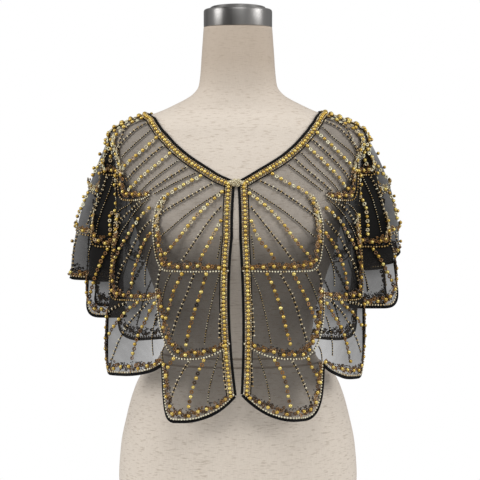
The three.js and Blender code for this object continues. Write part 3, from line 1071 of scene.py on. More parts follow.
class Shader:
    """A node material that is being made, round one Principled shader."""

    def __init__(self, name: str) -> None:
        """Starts a material.

        Args:
            name: The material's name.
        """
        self.material = bpy.data.materials.new(name)
        self.material.use_nodes = True
        self.tree = self.material.node_tree
        self.surface = self.tree.nodes["Principled BSDF"]

    def node(
        self, kind: str, output: object = 0, inputs: dict | None = None, **settings: object
    ) -> Wire:
        """Adds any node.

        Args:
            kind: The node's type.
            output: The output that is used, by number or name.
            inputs: Values or wires for its inputs, by number or name.
            **settings: The node's own settings.

        Returns:
            The output as a wire.
        """
        made = self.tree.nodes.new(kind)
        for setting, value in settings.items():
            setattr(made, setting, value)
        for key, value in (inputs or {}).items():
            self.feed(made.inputs[key], value)
        return Wire(self, made.outputs[output])

    def feed(self, socket: bpy.types.NodeSocket, value: object) -> None:
        """Sets an input, or links a wire to it.

        Args:
            socket: The input.
            value: A wire or a value.
        """
        if isinstance(value, Wire):
            self.tree.links.new(value.socket, socket)
        else:
            socket.default_value = value

    def object_place(self, scale: tuple = (1, 1, 1)) -> Wire:
        """The place on the object, in metres, times a scale a direction."""
        place = self.node("ShaderNodeTexCoord", output="Object")
        return self.node("ShaderNodeVectorMath", inputs={0: place, 1: scale}, operation="MULTIPLY")

    def noise(self, vector: Wire, scale: float, detail: float = 2.0) -> Wire:
        """A noise pattern from 0 to 1.

        Args:
            vector: Where it is read.
            scale: How many of its patches there are in one unit.
            detail: How many finer layers it has.
        """
        return self.node(
            "ShaderNodeTexNoise", inputs={"Vector": vector, "Scale": scale, "Detail": detail}
        )

    def between(self, value: Wire, low: float, high: float, first: float, last: float) -> Wire:
        """Turns a value from low to high into one from first to last, and holds it there.

        Args:
            value: The value.
            low: Where it starts to count.
            high: Where it stops counting.
            first: What comes out at low.
            last: What comes out at high.

        Returns:
            The value that comes out.
        """
        return self.node(
            "ShaderNodeMapRange",
            inputs={"Value": value, 1: low, 2: high, 3: first, 4: last},
            clamp=True,
        )

    def mix(self, factor: Wire, first: object, second: object) -> Wire:
        """A colour between two.

        Args:
            factor: How much of the second there is.
            first: A colour or a wire.
            second: A colour or a wire.
        """
        colours = {
            key: (*value, 1) if isinstance(value, tuple) else value
            for key, value in ((6, first), (7, second))
        }
        return self.node("ShaderNodeMix", output=2, inputs={0: factor, **colours}, data_type="RGBA")

    def part(self, vector: Wire, axis: str) -> Wire:
        """One axis of a vector.

        Args:
            vector: The vector.
            axis: The axis's letter.
        """
        return self.node("ShaderNodeSeparateXYZ", output=axis, inputs={0: vector})

    def bump(self, height: Wire, strength: float, distance: float) -> Wire:
        """A normal from a height.

        Args:
            height: The height.
            strength: How much of it shows.
            distance: How high one unit of it is, in metres.
        """
        return self.node(
            "ShaderNodeBump",
            inputs={"Height": height, "Strength": strength, "Distance": distance},
        )

    def done(self, **sockets: object) -> bpy.types.Material:
        """Feeds the Principled shader's sockets, named with underscores, and ends the material."""
        for name, value in sockets.items():
            value = (*value, 1) if isinstance(value, tuple) else value
            self.feed(self.surface.inputs[name.replace("_", " ")], value)
        return self.material


@dataclass(frozen=True)
class Linen:
    """Natural linen with short slubs along its weft, and painted shade that darkens the neck."""

    pale: tuple = (0.80, 0.715, 0.62)
    patch: tuple = (0.66, 0.58, 0.5)
    fleck: tuple = (0.47, 0.38, 0.29)
    # Painted shade: the darker, warmer colour of the neck, and the heights over which it comes in
    neck: tuple = (0.56, 0.46, 0.365)
    neck_shade_heights: tuple = (0.62, 0.70)
    thread: float = 0.0009
    slubs_a_metre: float = 620.0
    patches_a_metre: float = 9.0

    def build(self) -> bpy.types.Material:
        """Makes the material: the neck's painted shade first, then slubs, patches and warp threads over it.
        """
        shader = Shader("linen")
        threads_a_metre = 1 / self.thread
        weft = shader.noise(shader.object_place((0.12, 0.12, 1)), threads_a_metre)
        warp = shader.noise(shader.object_place((1, 1, 0.1)), threads_a_metre)
        slub = shader.noise(shader.object_place((0.16, 0.16, 1)), self.slubs_a_metre, 3)
        patch = shader.noise(shader.object_place(), self.patches_a_metre)
        height = shader.part(shader.object_place(), "Z")
        # Painted shade on the neck, by height
        tint = shader.mix(shader.between(height, *self.neck_shade_heights, 0, 0.9), self.pale, self.neck)
        tint = shader.mix(shader.between(slub, 0.54, 0.74, 0, 0.75), tint, self.fleck)
        tint = shader.mix(shader.between(patch, 0.3, 0.7, 0, 0.12), tint, self.patch)
        tint = shader.mix(shader.between(warp, 0.35, 0.65, 0, 0.16), tint, self.fleck)
        return shader.done(
            Base_Color=tint,
            Roughness=shader.between(weft, 0.3, 0.7, 0.82, 0.95),
            Sheen_Weight=0.15,
            Normal=shader.bump(weft + warp + slub, 0.35, 0.0006),
        )


@dataclass(frozen=True)
class BrushedSteel:
    """Steel brushed round an upright axis, so that its reflections stretch upright, with painted reflections
    in its colour as dark and pale upright streaks.
    """

    # The dark and pale colours of the painted reflections, and how many of their upright streaks there are
    pale: tuple = (0.47, 0.458, 0.445)
    dark: tuple = (0.17, 0.165, 0.16)
    reflection_streaks_a_metre: float = 38.0
    lines_a_metre: float = 5200.0
    grains_a_metre: float = 300.0

    def build(self) -> bpy.types.Material:
        """Makes the material."""
        shader = Shader("steel")
        reflection_streak = shader.noise(shader.object_place((1, 1, 0.02)), self.reflection_streaks_a_metre, 1.5)
        brushed = shader.noise(shader.object_place((0.04, 0.04, 1)), self.lines_a_metre)
        fine = shader.noise(shader.object_place(), self.grains_a_metre)
        # Painted reflections: dark and pale upright streaks in the colour
        return shader.done(
            Base_Color=shader.mix(shader.between(reflection_streak, 0.36, 0.64, 0, 1), self.dark, self.pale),
            Metallic=1.0,
            Roughness=shader.between(brushed * 0.7 + fine * 0.3, 0.3, 0.7, 0.36, 0.52),
            Anisotropic=0.8,
            Anisotropic_Rotation=0.25,
            Normal=shader.bump(brushed, 0.12, 0.0002),
        )


@dataclass(frozen=True)
class Net:
    """Fine black net, sheer between its threads, and blacker where it is folded, which is painted shade."""

    colour: tuple = (0.016, 0.013, 0.0115)
    worn: tuple = (0.035, 0.030, 0.026)
    # Painted shade: the colour that blackens the net in its folds, and the cover from which it starts
    folded: tuple = (0.004, 0.0035, 0.003)
    fold_shade_cover: float = 0.6
    mesh: float = 0.0016
    patches_a_metre: float = 60.0

    def build(self) -> bpy.types.Material:
        """Makes the material: its alpha is the cover, less the gaps between two leaning sets of threads."""
        shader = Shader("net")
        uv = shader.node("ShaderNodeUVMap", uv_map="cloth")
        across, up = shader.part(uv, "X"), shader.part(uv, "Y")
        rate = 2 * math.pi / self.mesh
        leaning = [
            shader.node("ShaderNodeMath", inputs={0: (across + up * sign) * rate}, operation="SINE")
            for sign in (1, -1)
        ]
        uneven = shader.noise(uv, self.patches_a_metre, 3)
        cover = shader.node("ShaderNodeAttribute", output="Fac", attribute_name="tone")
        cover = cover + leaning[0] * leaning[1] * -0.10 + shader.between(uneven, 0.3, 0.7, -0.03, 0.03)
        tint = shader.mix(uneven, self.colour, self.worn)
        # Painted shade: the colour goes blacker as the cover rises past that of a fold
        fold = shader.between(cover, self.fold_shade_cover, 1, 0, 1)
        return shader.done(
            Base_Color=shader.mix(fold, tint, self.folded),
            Roughness=0.75,
            Alpha=cover,
            Specular_IOR_Level=0.25,
        )


@dataclass(frozen=True)
class Satin:
    """Black satin ribbon with a fine grain."""

    colour: tuple = (0.003, 0.003, 0.0035)
    worn: tuple = (0.010, 0.0095, 0.010)
    grains_a_metre: float = 1500.0
    patches_a_metre: float = 60.0

    def build(self) -> bpy.types.Material:
        """Makes the material."""
        shader = Shader("binding")
        grain = shader.noise(shader.object_place(), self.grains_a_metre)
        worn = shader.noise(shader.object_place(), self.patches_a_metre)
        return shader.done(
            Base_Color=shader.mix(worn, self.colour, self.worn),
            Roughness=shader.between(grain, 0.3, 0.7, 0.55, 0.75),
            Specular_IOR_Level=0.12,
            Normal=shader.bump(grain, 0.3, 0.0004),
        )


@dataclass(frozen=True)
class Gloss:
    """Beads or sequins whose own tones run from dark to pale."""

    name: str
    dark: tuple
    middle: tuple
    pale: tuple
    metallic: float
    roughness: float
    coat: float
    coat_roughness: float = 0.08
    specks_a_metre: float = 900.0

    def build(self) -> bpy.types.Material:
        """Makes the material, which reads its tone from the beads and has darker specks."""
        shader = Shader(self.name)
        tone = shader.node("ShaderNodeAttribute", output="Fac", attribute_name="tone")
        worn = shader.noise(shader.object_place(), self.specks_a_metre)
        tint = shader.mix(shader.between(tone, 0, 0.5, 0, 1), self.dark, self.middle)
        tint = shader.mix(shader.between(tone, 0.5, 1, 0, 1), tint, self.pale)
        tint = shader.mix(shader.between(worn, 0.45, 0.75, 0, 0.25), tint, self.dark)
        return shader.done(
            Base_Color=tint,
            Metallic=self.metallic,
            Roughness=shader.between(worn, 0.3, 0.7, self.roughness * 0.8, self.roughness * 1.2),
            Coat_Weight=self.coat,
            Coat_Roughness=self.coat_roughness,
        )


BEAD_FINISHES = {
    BeadShape.GOLD: Gloss(
        "gold",
        dark=(0.13, 0.062, 0.006),
        middle=(0.70, 0.44, 0.05),
        pale=(1.0, 0.86, 0.28),
        metallic=0.45,
        roughness=0.2,
        coat=0.7,
    ),
    BeadShape.SEED: Gloss(
        "seed",
        dark=(0.014, 0.010, 0.007),
        middle=(0.50, 0.31, 0.08),
        pale=(1.0, 0.96, 0.74),
        metallic=0.15,
        roughness=0.25,
        coat=0.4,
    ),
    BeadShape.SEQUIN: Gloss(
        "sequin",
        dark=(0.02, 0.012, 0.008),
        middle=(0.40, 0.20, 0.06),
        pale=(1.0, 0.95, 0.66),
        metallic=0.2,
        roughness=0.24,
        coat=0.3,
    ),
}


@dataclass
class Finishes:
    """Every material of the part."""

    linen: bpy.types.Material
    seam: bpy.types.Material
    steel: bpy.types.Material
    net: bpy.types.Material
    binding: bpy.types.Material
    beads: dict

    @classmethod
    def make(cls) -> "Finishes":
        """Makes them all."""
        return cls(
            linen=Linen().build(),
            seam=Linen(pale=(0.46, 0.39, 0.32)).build(),
            steel=BrushedSteel().build(),
            net=Net().build(),
            binding=Satin().build(),
            beads={shape: gloss.build() for shape, gloss in BEAD_FINISHES.items()},
        )


# The dress form


@dataclass
class DressForm:
    """The limbless form: its linen body, its waist seam and its steel neck cap."""

    finishes: Finishes
    seam_height: float = 272.0
    seam_spacing: float = 12.0
    seam_thickness: float = 3.0
    seam_sides: int = 8
    cap_chamfer: float = 0.8
    cap_sides: int = 128
    lid_gap: float = 1.0
    lid_fullness: float = 0.6
    rounding_steps: int = 8

    def build(self) -> None:
        """Makes the form's pieces."""
        self.torso()
        self.waist_seam()
        self.neck_cap()

    def torso(self) -> None:
        """The body, smooth between the sections that the CAD form has."""
        heights = np.linspace(0, FORM_SECTIONS[-1]["z"], FORM_RINGS)
        angles = np.linspace(0, 360, FORM_SIDES, endpoint=False)
        rings = FORM.point(angles[None], heights[:, None])
        body = Tube()
        body.add(rings)
        piece = body.build("torso", self.finishes.linen)
        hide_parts("form_torso")

    def waist_seam(self) -> None:
        """Two rows of stitching that stand a little proud round the waist."""
        angles = np.linspace(0, 360, FORM_SIDES + 1)
        welt = Tube()
        for shift in (-0.5, 0.5):
            z = np.full_like(angles, self.seam_height + shift * self.seam_spacing)
            middle, outward = FORM.point(angles, z), normals_of(FORM.point, angles, z)
            up = np.cross(outward, unit(np.gradient(middle, axis=0)))
            section = ellipse(self.seam_thickness, self.seam_thickness, 0, 0, self.seam_sides)
            welt.add(
                middle[:, None] + up[:, None] * section[None, :, :1] + outward[:, None] * section[None, :, 1:]
            )
        piece = welt.build("waist_seam", self.finishes.seam)

    def neck_cap(self) -> None:
        """The cap with its rounded rim and the raised lid on it."""
        top, rounding = CAP_BOTTOM + CAP_RIM_HEIGHT, CAP_EDGE_ROUNDING
        lid = CAP_RADIUS - CAP_RIDGE_WIDTH - self.lid_gap
        turn = np.linspace(0, math.pi / 2, self.rounding_steps)
        foot = [
            (0, CAP_BOTTOM),
            (CAP_RADIUS - self.cap_chamfer, CAP_BOTTOM),
            (CAP_RADIUS, CAP_BOTTOM + self.cap_chamfer),
        ]
        edge = [CAP_RADIUS - rounding * (1 - np.cos(turn)), top - rounding * (1 - np.sin(turn))]
        dome = [lid * np.cos(turn), top + CAP_DOME_HEIGHT * np.sin(turn) ** self.lid_fullness]
        ridge = [(CAP_RADIUS - CAP_RIDGE_WIDTH, top)]
        outline = np.concatenate([foot, np.stack(edge, 1), ridge, np.stack(dome, 1)])
        cap = Tube()
        cap.add(turned(outline, self.cap_sides).transpose(1, 0, 2))
        piece = cap.build("cap", self.finishes.steel)
        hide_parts("neck_cap")


# The bolero


@dataclass
class Panel:
    """One cut piece of net."""

    name: str
    finishes: Finishes

    @staticmethod
    def half(drape: Drape, part: str) -> tuple:
        """One side's share of the panel, column by column from the neck, in even steps down the cloth.

        Args:
            drape: The side.
            part: The front or the back.

        Returns:
            Its points, its UVs in metres of cloth and the net's cover.
        """
        hem = drape.resample(drape.hem(part), PANEL_STEP)
        along, bottom = hem[:, 0], hem[:, 1]
        share = np.linspace(0, 1, FINE_STEPS)
        top = drape.top(along)
        heights = top[:, None] + (bottom - top)[:, None] * share
        fine = drape.lie(along[:, None], heights)
        steps = np.linalg.norm(np.diff(fine, axis=1), axis=-1)
        walk = np.concatenate([np.zeros((len(hem), 1)), np.cumsum(steps, axis=1)], axis=1)
        even = np.linspace(0, 1, PANEL_ROWS)
        z = np.stack([np.interp(even * w[-1], w, h) for w, h in zip(walk, heights)])
        points = drape.point(along[:, None], z)
        reach = np.stack([np.interp(even * w[-1], w, w) for w in walk])
        across = np.broadcast_to(along[:, None], z.shape) * drape.side.value
        return points, np.stack([across, -reach], -1) * METRES, drape.cover(along[:, None], z)

    def build(self, halves: list) -> bpy.types.Object:
        """Makes the panel.

        Args:
            halves: One half or two, which run on from each other.

        Returns:
            The net's object.
        """
        points = np.concatenate([half[0] for half in halves])
        uvs = np.concatenate([half[1] for half in halves])
        cover = np.concatenate([half[2] for half in halves])
        columns, rows = points.shape[:2]
        faces = grid_faces(columns, rows)
        outward = self._faces_out(points)
        piece = new_object(
            f"{self.name}_net",
            points.reshape(-1, 3),
            faces if outward else faces[:, ::-1],
            self.finishes.net,
            uvs=uvs.reshape(-1, 2),
            tone=cover.ravel(),
            closed=False,
        )
        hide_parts(self.name)
        return piece

    @staticmethod
    def _faces_out(points: np.ndarray) -> bool:
        """Whether a quad in the middle of the grid, taken in order, faces away from the form."""
        i, j = points.shape[0] // 2, points.shape[1] // 3
        corner = points[i, j]
        normal = np.cross(points[i, j + 1] - corner, points[i + 1, j] - corner)
        return float(normal[:2] @ corner[:2]) > 0


# Beads across, how high they are lifted, as a fixed part and a share of their size, and how unevenly
# they are sewn
GOLD_SIZE = 5.2
SEED_SIZE = 2.5
SEQUIN_SIZE = 5.6
CLUSTER_SIZE = 2.7
BEAD_LIFT = (0.7, 0.45)
BAND_LIFT = (0.9, 0.25)
FEWEST_BEADS = 3
TONE_SPREAD = 0.13
SIZE_SPREAD = 0.04
LEAN_SPREAD = 0.12
BRIGHTEST = 1.1

# The border's depth, and the width and height of its cord and of the threads in the fans
BORDER_DEPTH = 10.4
BORDER_CORD = (1.6, 1.4)
THREAD = (1.8, 1.2)

# The band over a fan's edge. It changes along the edge, from its outer top to its inner end: first how
# much of its depth it takes, then how pale it may be
FAN_BAND = 15.0
HEM_BAND = 16.0
BAND_STEP = 1.5
BAND_LEAN_SPREAD = 0.2
BAND_REACH = ((0, 0.2, 0.45, 0.8, 1), (0.55, 0.7, 1, 0.85, 0.4))
BAND_PALEST = ((0, 0.3, 0.45, 1), (1, 0.9, 0.35, 0.3))
HEM_PEARLS_INSET = 1.8

# Tones by height, and tones by how much the net covers where it is folded, which paint shade on beads in the
# folds
HEIGHT_TONES = ((250, 430, 470, 600), (0.2, 0.3, 0.85, 0.95))
FOLD_SHADE_TONES = ((0.5, 0.9), (1.1, 0.6))


class Tone(Enum):
    """Where a row of beads gets its tones from, if it hasn't one of its own."""

    HEIGHT = "height"
    FOLD = "fold"

    def at(self, drape: Drape, spots: np.ndarray) -> np.ndarray:
        """The mean tones at places on the cloth.

        Args:
            drape: The side that they lie on.
            spots: Places and heights.
        """
        if self is Tone.HEIGHT:
            return np.interp(spots[:, 1], *HEIGHT_TONES)
        # Painted shade: beads darken where the net's cover says that they lie in a fold
        return np.interp(drape.cover(spots[:, 0], spots[:, 1]), *FOLD_SHADE_TONES)


@dataclass(frozen=True)
class Row:
    """How one row of beads is sewn along a line: every so many of its places, from the first on.

    A row lies to the right of its line by beside, and wanders by loose. Its beads' middles are lifted off
    the cloth's middle, by their size if no lift is given.
    """

    shape: BeadShape
    step: float
    size: float
    tone: float | Tone
    loose: float = 0.25
    lift: float | None = None
    beside: float = 0.0
    first: int = 0
    every: int = 1

    @property
    def height(self) -> float:
        """How high the beads' middles lie off the cloth's middle."""
        return BEAD_LIFT[0] + BEAD_LIFT[1] * self.size if self.lift is None else self.lift


class RayKind(Enum):
    """What a ray of a fan is sewn from: gold beads with sequins, clusters of seeds, or fine seeds."""

    GOLD = 1
    CLUSTERS = 2
    FINE = 3


# The pearls along a fan's edge, the rows of the border, and the rows of each kind of ray
# The pearls take painted shade in the folds
PEARLS = Row(BeadShape.SEED, 4.0, 3.1, Tone.FOLD, 0.1)
BORDER_ROWS = (
    Row(BeadShape.GOLD, 5.5, GOLD_SIZE, 0.75, 0.08, 3.2, beside=-5.1),
    Row(BeadShape.SEED, 3.1, SEED_SIZE, 0.78, 0.08, 2.0, beside=-1.7),
    Row(BeadShape.SEED, 3.1, SEED_SIZE, 0.78, 0.08, 2.0, beside=-8.5),
)
RAY_ROWS = {
    RayKind.GOLD: (
        Row(BeadShape.GOLD, 6.5, GOLD_SIZE * 1.06, 0.75, every=2),
        Row(BeadShape.SEQUIN, 6.5, SEQUIN_SIZE * 1.08, Tone.HEIGHT, lift=1.7, first=1, every=2),
        Row(BeadShape.SEED, 3.25, 2.0, 0.35, first=1, every=2),
    ),
    RayKind.CLUSTERS: (
        Row(BeadShape.SEED, 6.2, CLUSTER_SIZE, 0.85, 0.4, beside=-0.9),
        Row(BeadShape.SEED, 6.2, CLUSTER_SIZE * 0.75, 0.85, 0.4, beside=1.1),
        Row(BeadShape.SEED, 3.1, 1.9, 0.15, 0.3, first=1, every=2),
    ),
    RayKind.FINE: (Row(BeadShape.SEED, 3.6, 1.8, 0.8, 0.15, 1.7),),
}

# The bands' beads: every so many places, between two shares of the band's depth. Their tone is a fixed
# part and a share of the band's own
BAND_ROWS = table(
    "shape every size low high tone share",
    [
        (BeadShape.SEQUIN, 3, SEQUIN_SIZE, 0.35, 0.85, 0.0, 1),
        (BeadShape.SEQUIN, 2, SEQUIN_SIZE * 0.66, 0.25, 1.1, -0.1, 1),
        (BeadShape.SEED, 1, 2.0, 0.2, 1.15, -0.25, 1),
        (BeadShape.GOLD, 10, GOLD_SIZE * 1.1, 0.35, 0.7, 0.7, 0),
    ],
)

# The rows that stand proud on the shoulder and down the fold below it, between two heights. The first
# two start below the border
SHOULDER_START = BORDER_DEPTH + 4
SHOULDER_ROWS = (
    (None, 586.0, Row(BeadShape.GOLD, 11.5, GOLD_SIZE, 0.75, 0.5, 3.2)),
    (None, 586.0, Row(BeadShape.SEED, 5.2, SEED_SIZE, 0.35, 0.3, 1.2)),
    (586.0, 440.0, Row(BeadShape.GOLD, 21.0, GOLD_SIZE, 0.75, 0.5, 2.2)),
)

# The cluster over the hook: a sequin in the middle, a ring round it at these angles and one at each end,
# each with a seed on it. Sizes, tones and how far a seed lies over its sequin
CLOSURE_RING = (10, 62, 118, 170, 228, 292)
CLOSURE_REACH = (5.4, 3.1)
CLOSURE_ENDS = ((-8.2, 0.4), (8.2, -0.4))
CLOSURE_INSET = 1.2
CLOSURE_FACING = (0.02, -1, 0.2)
CLOSURE_LEAN_SPREAD = 0.1
CLOSURE_SEQUIN = (6.2, 0.85)
CLOSURE_SEED = (2.6, 1.0)
CLOSURE_SEED_LIFT = 1.7

# The tiers of fans over each scallop of the hem: the line that ends each tier, given as the hem is, and the
# share of the width by which its top turns back inwards
FANS = table(
    "inner outer start low low_at end squareness tuck",
    [
        ("front_edge", "a_b", 404, 402, 0.72, 507, 3.6, 0.2),
        ("front_edge", "a_b", 303, 281, 0.64, 376, 2.6, 0),
        ("a_b", "b_c", 508, 500, 0.6, 590, 4, 0),
        ("a_b", "b_c", 366, 359, 0.6, 480, 5, 0),
        ("b_c", "c_d", 540, 536, 0.6, 560, 3, 0),
        ("b_c", "c_d", 440, 433, 0.7, 480, 3, 0),
        ("c_d", "shoulder", 515, 508, 0.6, 530, 2.6, 0),
        ("c_d", "shoulder", 455, 448, 0.6, 468, 2.6, 0),
        ("back_middle", "g_h", 480, 478, 0.3, 520, 3, 0),
        ("back_middle", "g_h", 371, 369, 0.3, 408, 3, 0),
        ("g_h", "f_g", 520, 514, 0.6, 556, 3, 0),
        ("g_h", "f_g", 410, 405, 0.6, 446, 3, 0),
        ("f_g", "e_f", 562, 558, 0.7, 580, 3, 0),
        ("f_g", "e_f", 458, 453, 0.7, 490, 3, 0),
        ("e_f", "seam", 489, 485, 0.6, 500, 2.4, 0),
    ],
)

# The rays of each tier, from its outer top to its inner end: their kinds by number, where the first starts
# along the line above, how far the last starts past the inner fold and down the inner side, and how far
# they bow outwards, all as shares
RAYS = table(
    "inner kinds first past down bow",
    [
        ("front_edge", (1, 2, 3, 1, 2, 1, 3), 0.62, 0, 0.6, 0.0),
        ("front_edge", (2, 3, 1, 2, 1, 3, 2), 0.12, 0, 0.1, 0.03),
        ("front_edge", (3, 1, 2, 1, 3, 2), 0.1, 0, 0.05, 0.05),
        ("a_b", (1, 2, 3, 1, 2, 1, 3, 2, 3), 0.08, 0.55, 0, -0.03),
        ("a_b", (3, 2, 3, 1, 2, 1, 3), 0.45, 0, 0.5, 0.13),
        ("a_b", (2, 1, 2, 1, 3), 0.4, 0, 0.3, 0.08),
        ("b_c", (3, 1, 2), 0.1, 0, 0, 0.03),
        ("b_c", (1, 2, 3, 1, 2), 0.1, 0, 0.1, 0.05),
        ("b_c", (3, 1, 3, 2), 0.1, 0, 0.2, 0.05),
        ("c_d", (1, 3, 2, 1), 0.1, 0, 0, 0.03),
        ("c_d", (1, 2, 3, 1, 3), 0.1, 0, 0.1, 0.03),
        ("c_d", (2, 1, 3, 1), 0.1, 0, 0.1, 0.03),
        ("back_middle", (2, 1, 3, 1, 2), 0.1, 0, 0, 0.03),
        ("back_middle", (3, 1, 2, 1, 3), 0.1, 0, 0.1, 0.03),
        ("back_middle", (2, 1, 3, 1, 2), 0.1, 0, 0.1, 0.03),
        ("g_h", (1, 2, 3, 1, 2, 3), 0.1, 0, 0.1, 0.04),
        ("g_h", (2, 3, 1, 2, 1, 3), 0.1, 0, 0.1, 0.04),
        ("g_h", (3, 1, 2, 1, 3), 0.1, 0, 0.1, 0.04),
        ("f_g", (1, 2, 3, 1, 2), 0.1, 0, 0.1, 0.04),
        ("f_g", (3, 1, 2, 1, 3), 0.1, 0, 0.1, 0.04),
        ("f_g", (2, 1, 3, 1), 0.1, 0, 0.1, 0.04),
        ("e_f", (1, 3, 2), 0.1, 0, 0, 0.03),
        ("e_f", (2, 1, 3), 0.1, 0, 0.1, 0.03),
    ],
)

# Where the first and the last ray end along the lower line, how far short of it they stop, and how much
# they waver. A fan starts from the part of the line above that is low enough, a little below it
RAY_SPREAD = (0.96, 0.08)
RAY_MARGINS = (7.0, 19.0)
RAY_MARGIN_SPREAD = (-2, 3)
RAY_WAVER = 1.0
RAY_STEP = 2.0
SHORTEST_RAY = 4
ROOTS_BELOW_BORDER = BORDER_DEPTH + 3
ROOTS_BELOW_FAN = 3.5
ROOTS_REACH = 25


@dataclass
class Beadwork:
    """The beads, sequins and threads of one panel."""

    name: str
    finishes: Finishes
    beads: dict = field(default_factory=lambda: {shape: Beads(shape) for shape in BeadShape})
    thread: Tube = field(default_factory=lambda: Tube(ellipse(*THREAD, 0, 0.8, 5)))
    chance: np.random.Generator = field(default_factory=lambda: np.random.default_rng(SEED))

    def lay(self, row: Row, drape: Drape, line: np.ndarray, beside: float = 0.0) -> None:
        """Sews one row of beads along a line.

        Args:
            row: How it is sewn.
            drape: The side that it lies on.
            line: Places and heights.
            beside: How far to the right of the line it is moved as a whole.
        """
        spots = drape.resample(line, row.step)[row.first :: row.every]
        if len(spots) < FEWEST_BEADS:
            return
        tones = row.tone.at(drape, spots) if isinstance(row.tone, Tone) else row.tone
        wander = row.beside + beside + self.chance.normal(0, row.loose, len(spots))
        points, tangent, outward = drape.beside(spots, wander, row.height)
        tones = np.clip(tones + self.chance.normal(0, TONE_SPREAD, len(spots)), 0, BRIGHTEST)
        sizes = row.size * (1 + self.chance.normal(0, SIZE_SPREAD, len(spots)))
        lean = self.chance.normal(0, LEAN_SPREAD, (len(spots), 3))
        self.beads[row.shape].add(points, tangent, unit(outward + lean), sizes, tones)

    def ray(self, drape: Drape, line: np.ndarray, kind: RayKind) -> None:
        """One ray of a fan. All but gold beads are sewn on a dark thread that shows.

        Args:
            drape: The side that it lies on.
            line: Places and heights along it.
            kind: What it is sewn from.
        """
        if kind is not RayKind.GOLD:
            self.thread.sweep(drape, drape.resample(line, STRIP_STEP))
        for row in RAY_ROWS[kind]:
            self.lay(row, drape, line)

    def arc(self, drape: Drape, line: np.ndarray, depth: float, inset: float = 0.0) -> None:
        """A fan's lower edge: a row of pearls with a band of sequins, seeds and gold beads over it.

        The band is pale and thin at the outer top, and dark, brown and thick round the lower corner.

        Args:
            drape: The side that it lies on.
            line: Places and heights along the edge.
            depth: How deep the band is where it is deepest.
            inset: How far inside the line the pearls lie.
        """
        inwards = self.inwards(line)
        self.thread.sweep(drape, drape.resample(line, STRIP_STEP))
        self.lay(PEARLS, drape, line, inset * inwards)
        spots = drape.resample(line, BAND_STEP)
        if inwards < 0:
            spots = spots[::-1]
        share = np.linspace(0, 1, len(spots))
        reach = depth * np.interp(share, *BAND_REACH)
        own = np.minimum(Tone.HEIGHT.at(drape, spots), np.interp(share, *BAND_PALEST))
        for row in BAND_ROWS:
            chosen = np.arange(self.chance.integers(row["every"]), len(spots), row["every"])
            if len(chosen) < FEWEST_BEADS:
                continue
            deep = row["low"] + (row["high"] - row["low"]) * self.chance.random(len(chosen))
            lift = BAND_LIFT[0] + row["size"] * BAND_LIFT[1]
            points, tangent, outward = drape.beside(spots[chosen], deep * reach[chosen], lift)
            tones = own[chosen] * row["share"] + row["tone"]
            tones = np.clip(tones + self.chance.normal(0, TONE_SPREAD, len(chosen)), 0, 1)
            outward = unit(outward + self.chance.normal(0, BAND_LEAN_SPREAD, outward.shape))
            self.beads[row["shape"]].add(points, tangent, outward, row["size"], tones)

    @staticmethod
    def inwards(line: np.ndarray) -> int:
        """The side of a hem or a fan's edge that the fan is on: the left if it runs towards the back."""
        return -1 if line[-1, 0] > line[0, 0] else 1

    def fan(self, drape: Drape, roots: np.ndarray, lower: np.ndarray, plan: dict) -> None:
        """The rays of one fan.

        Args:
            drape: The side that they lie on.
            roots: The line that they start from, from its outer end.
            lower: The line that they run to, from its inner end.
            plan: The fan's row of RAYS.
        """
        roots_walk, lower_walk = drape.measure(roots), drape.measure(lower)
        for number, kind in enumerate(plan["kinds"]):
            share = number / (len(plan["kinds"]) - 1)
            spread = np.interp(share, (0, 1), RAY_SPREAD)
            start = [np.interp(share * roots_walk[-1], roots_walk, roots[:, i]) for i in (0, 1)]
            end = [np.interp(spread * lower_walk[-1], lower_walk, lower[:, i]) for i in (0, 1)]
            line = drape.straight(np.array(start), np.array(end))
            along = np.linspace(0, 1, len(line))[:, None]
            bow = plan["bow"] * drape.measure(line)[-1] * 4 * along * (1 - along)
            bow = bow + self.chance.normal(0, RAY_WAVER) * np.sin(2 * math.pi * along)
            line = drape.shift(line, drape.rightwards(line) * bow * self.inwards(lower))
            line = drape.resample(line, RAY_STEP)
            margin = np.interp(share, (0, 0.5), RAY_MARGINS) + self.chance.uniform(*RAY_MARGIN_SPREAD)
            line = line[: len(line) - round(margin / RAY_STEP)]
            if len(line) > SHORTEST_RAY:
                self.ray(drape, line, RayKind(kind))

    def build(self) -> list:
        """Makes the panel's bead objects."""
        made = []
        for shape, beads in self.beads.items():
            if beads.places:
                made.append(beads.build(f"{self.name}_{shape.value}", self.finishes.beads[shape]))
        if self.thread.points:
            made.append(self.thread.build(f"{self.name}_threads", self.finishes.binding))
        return made


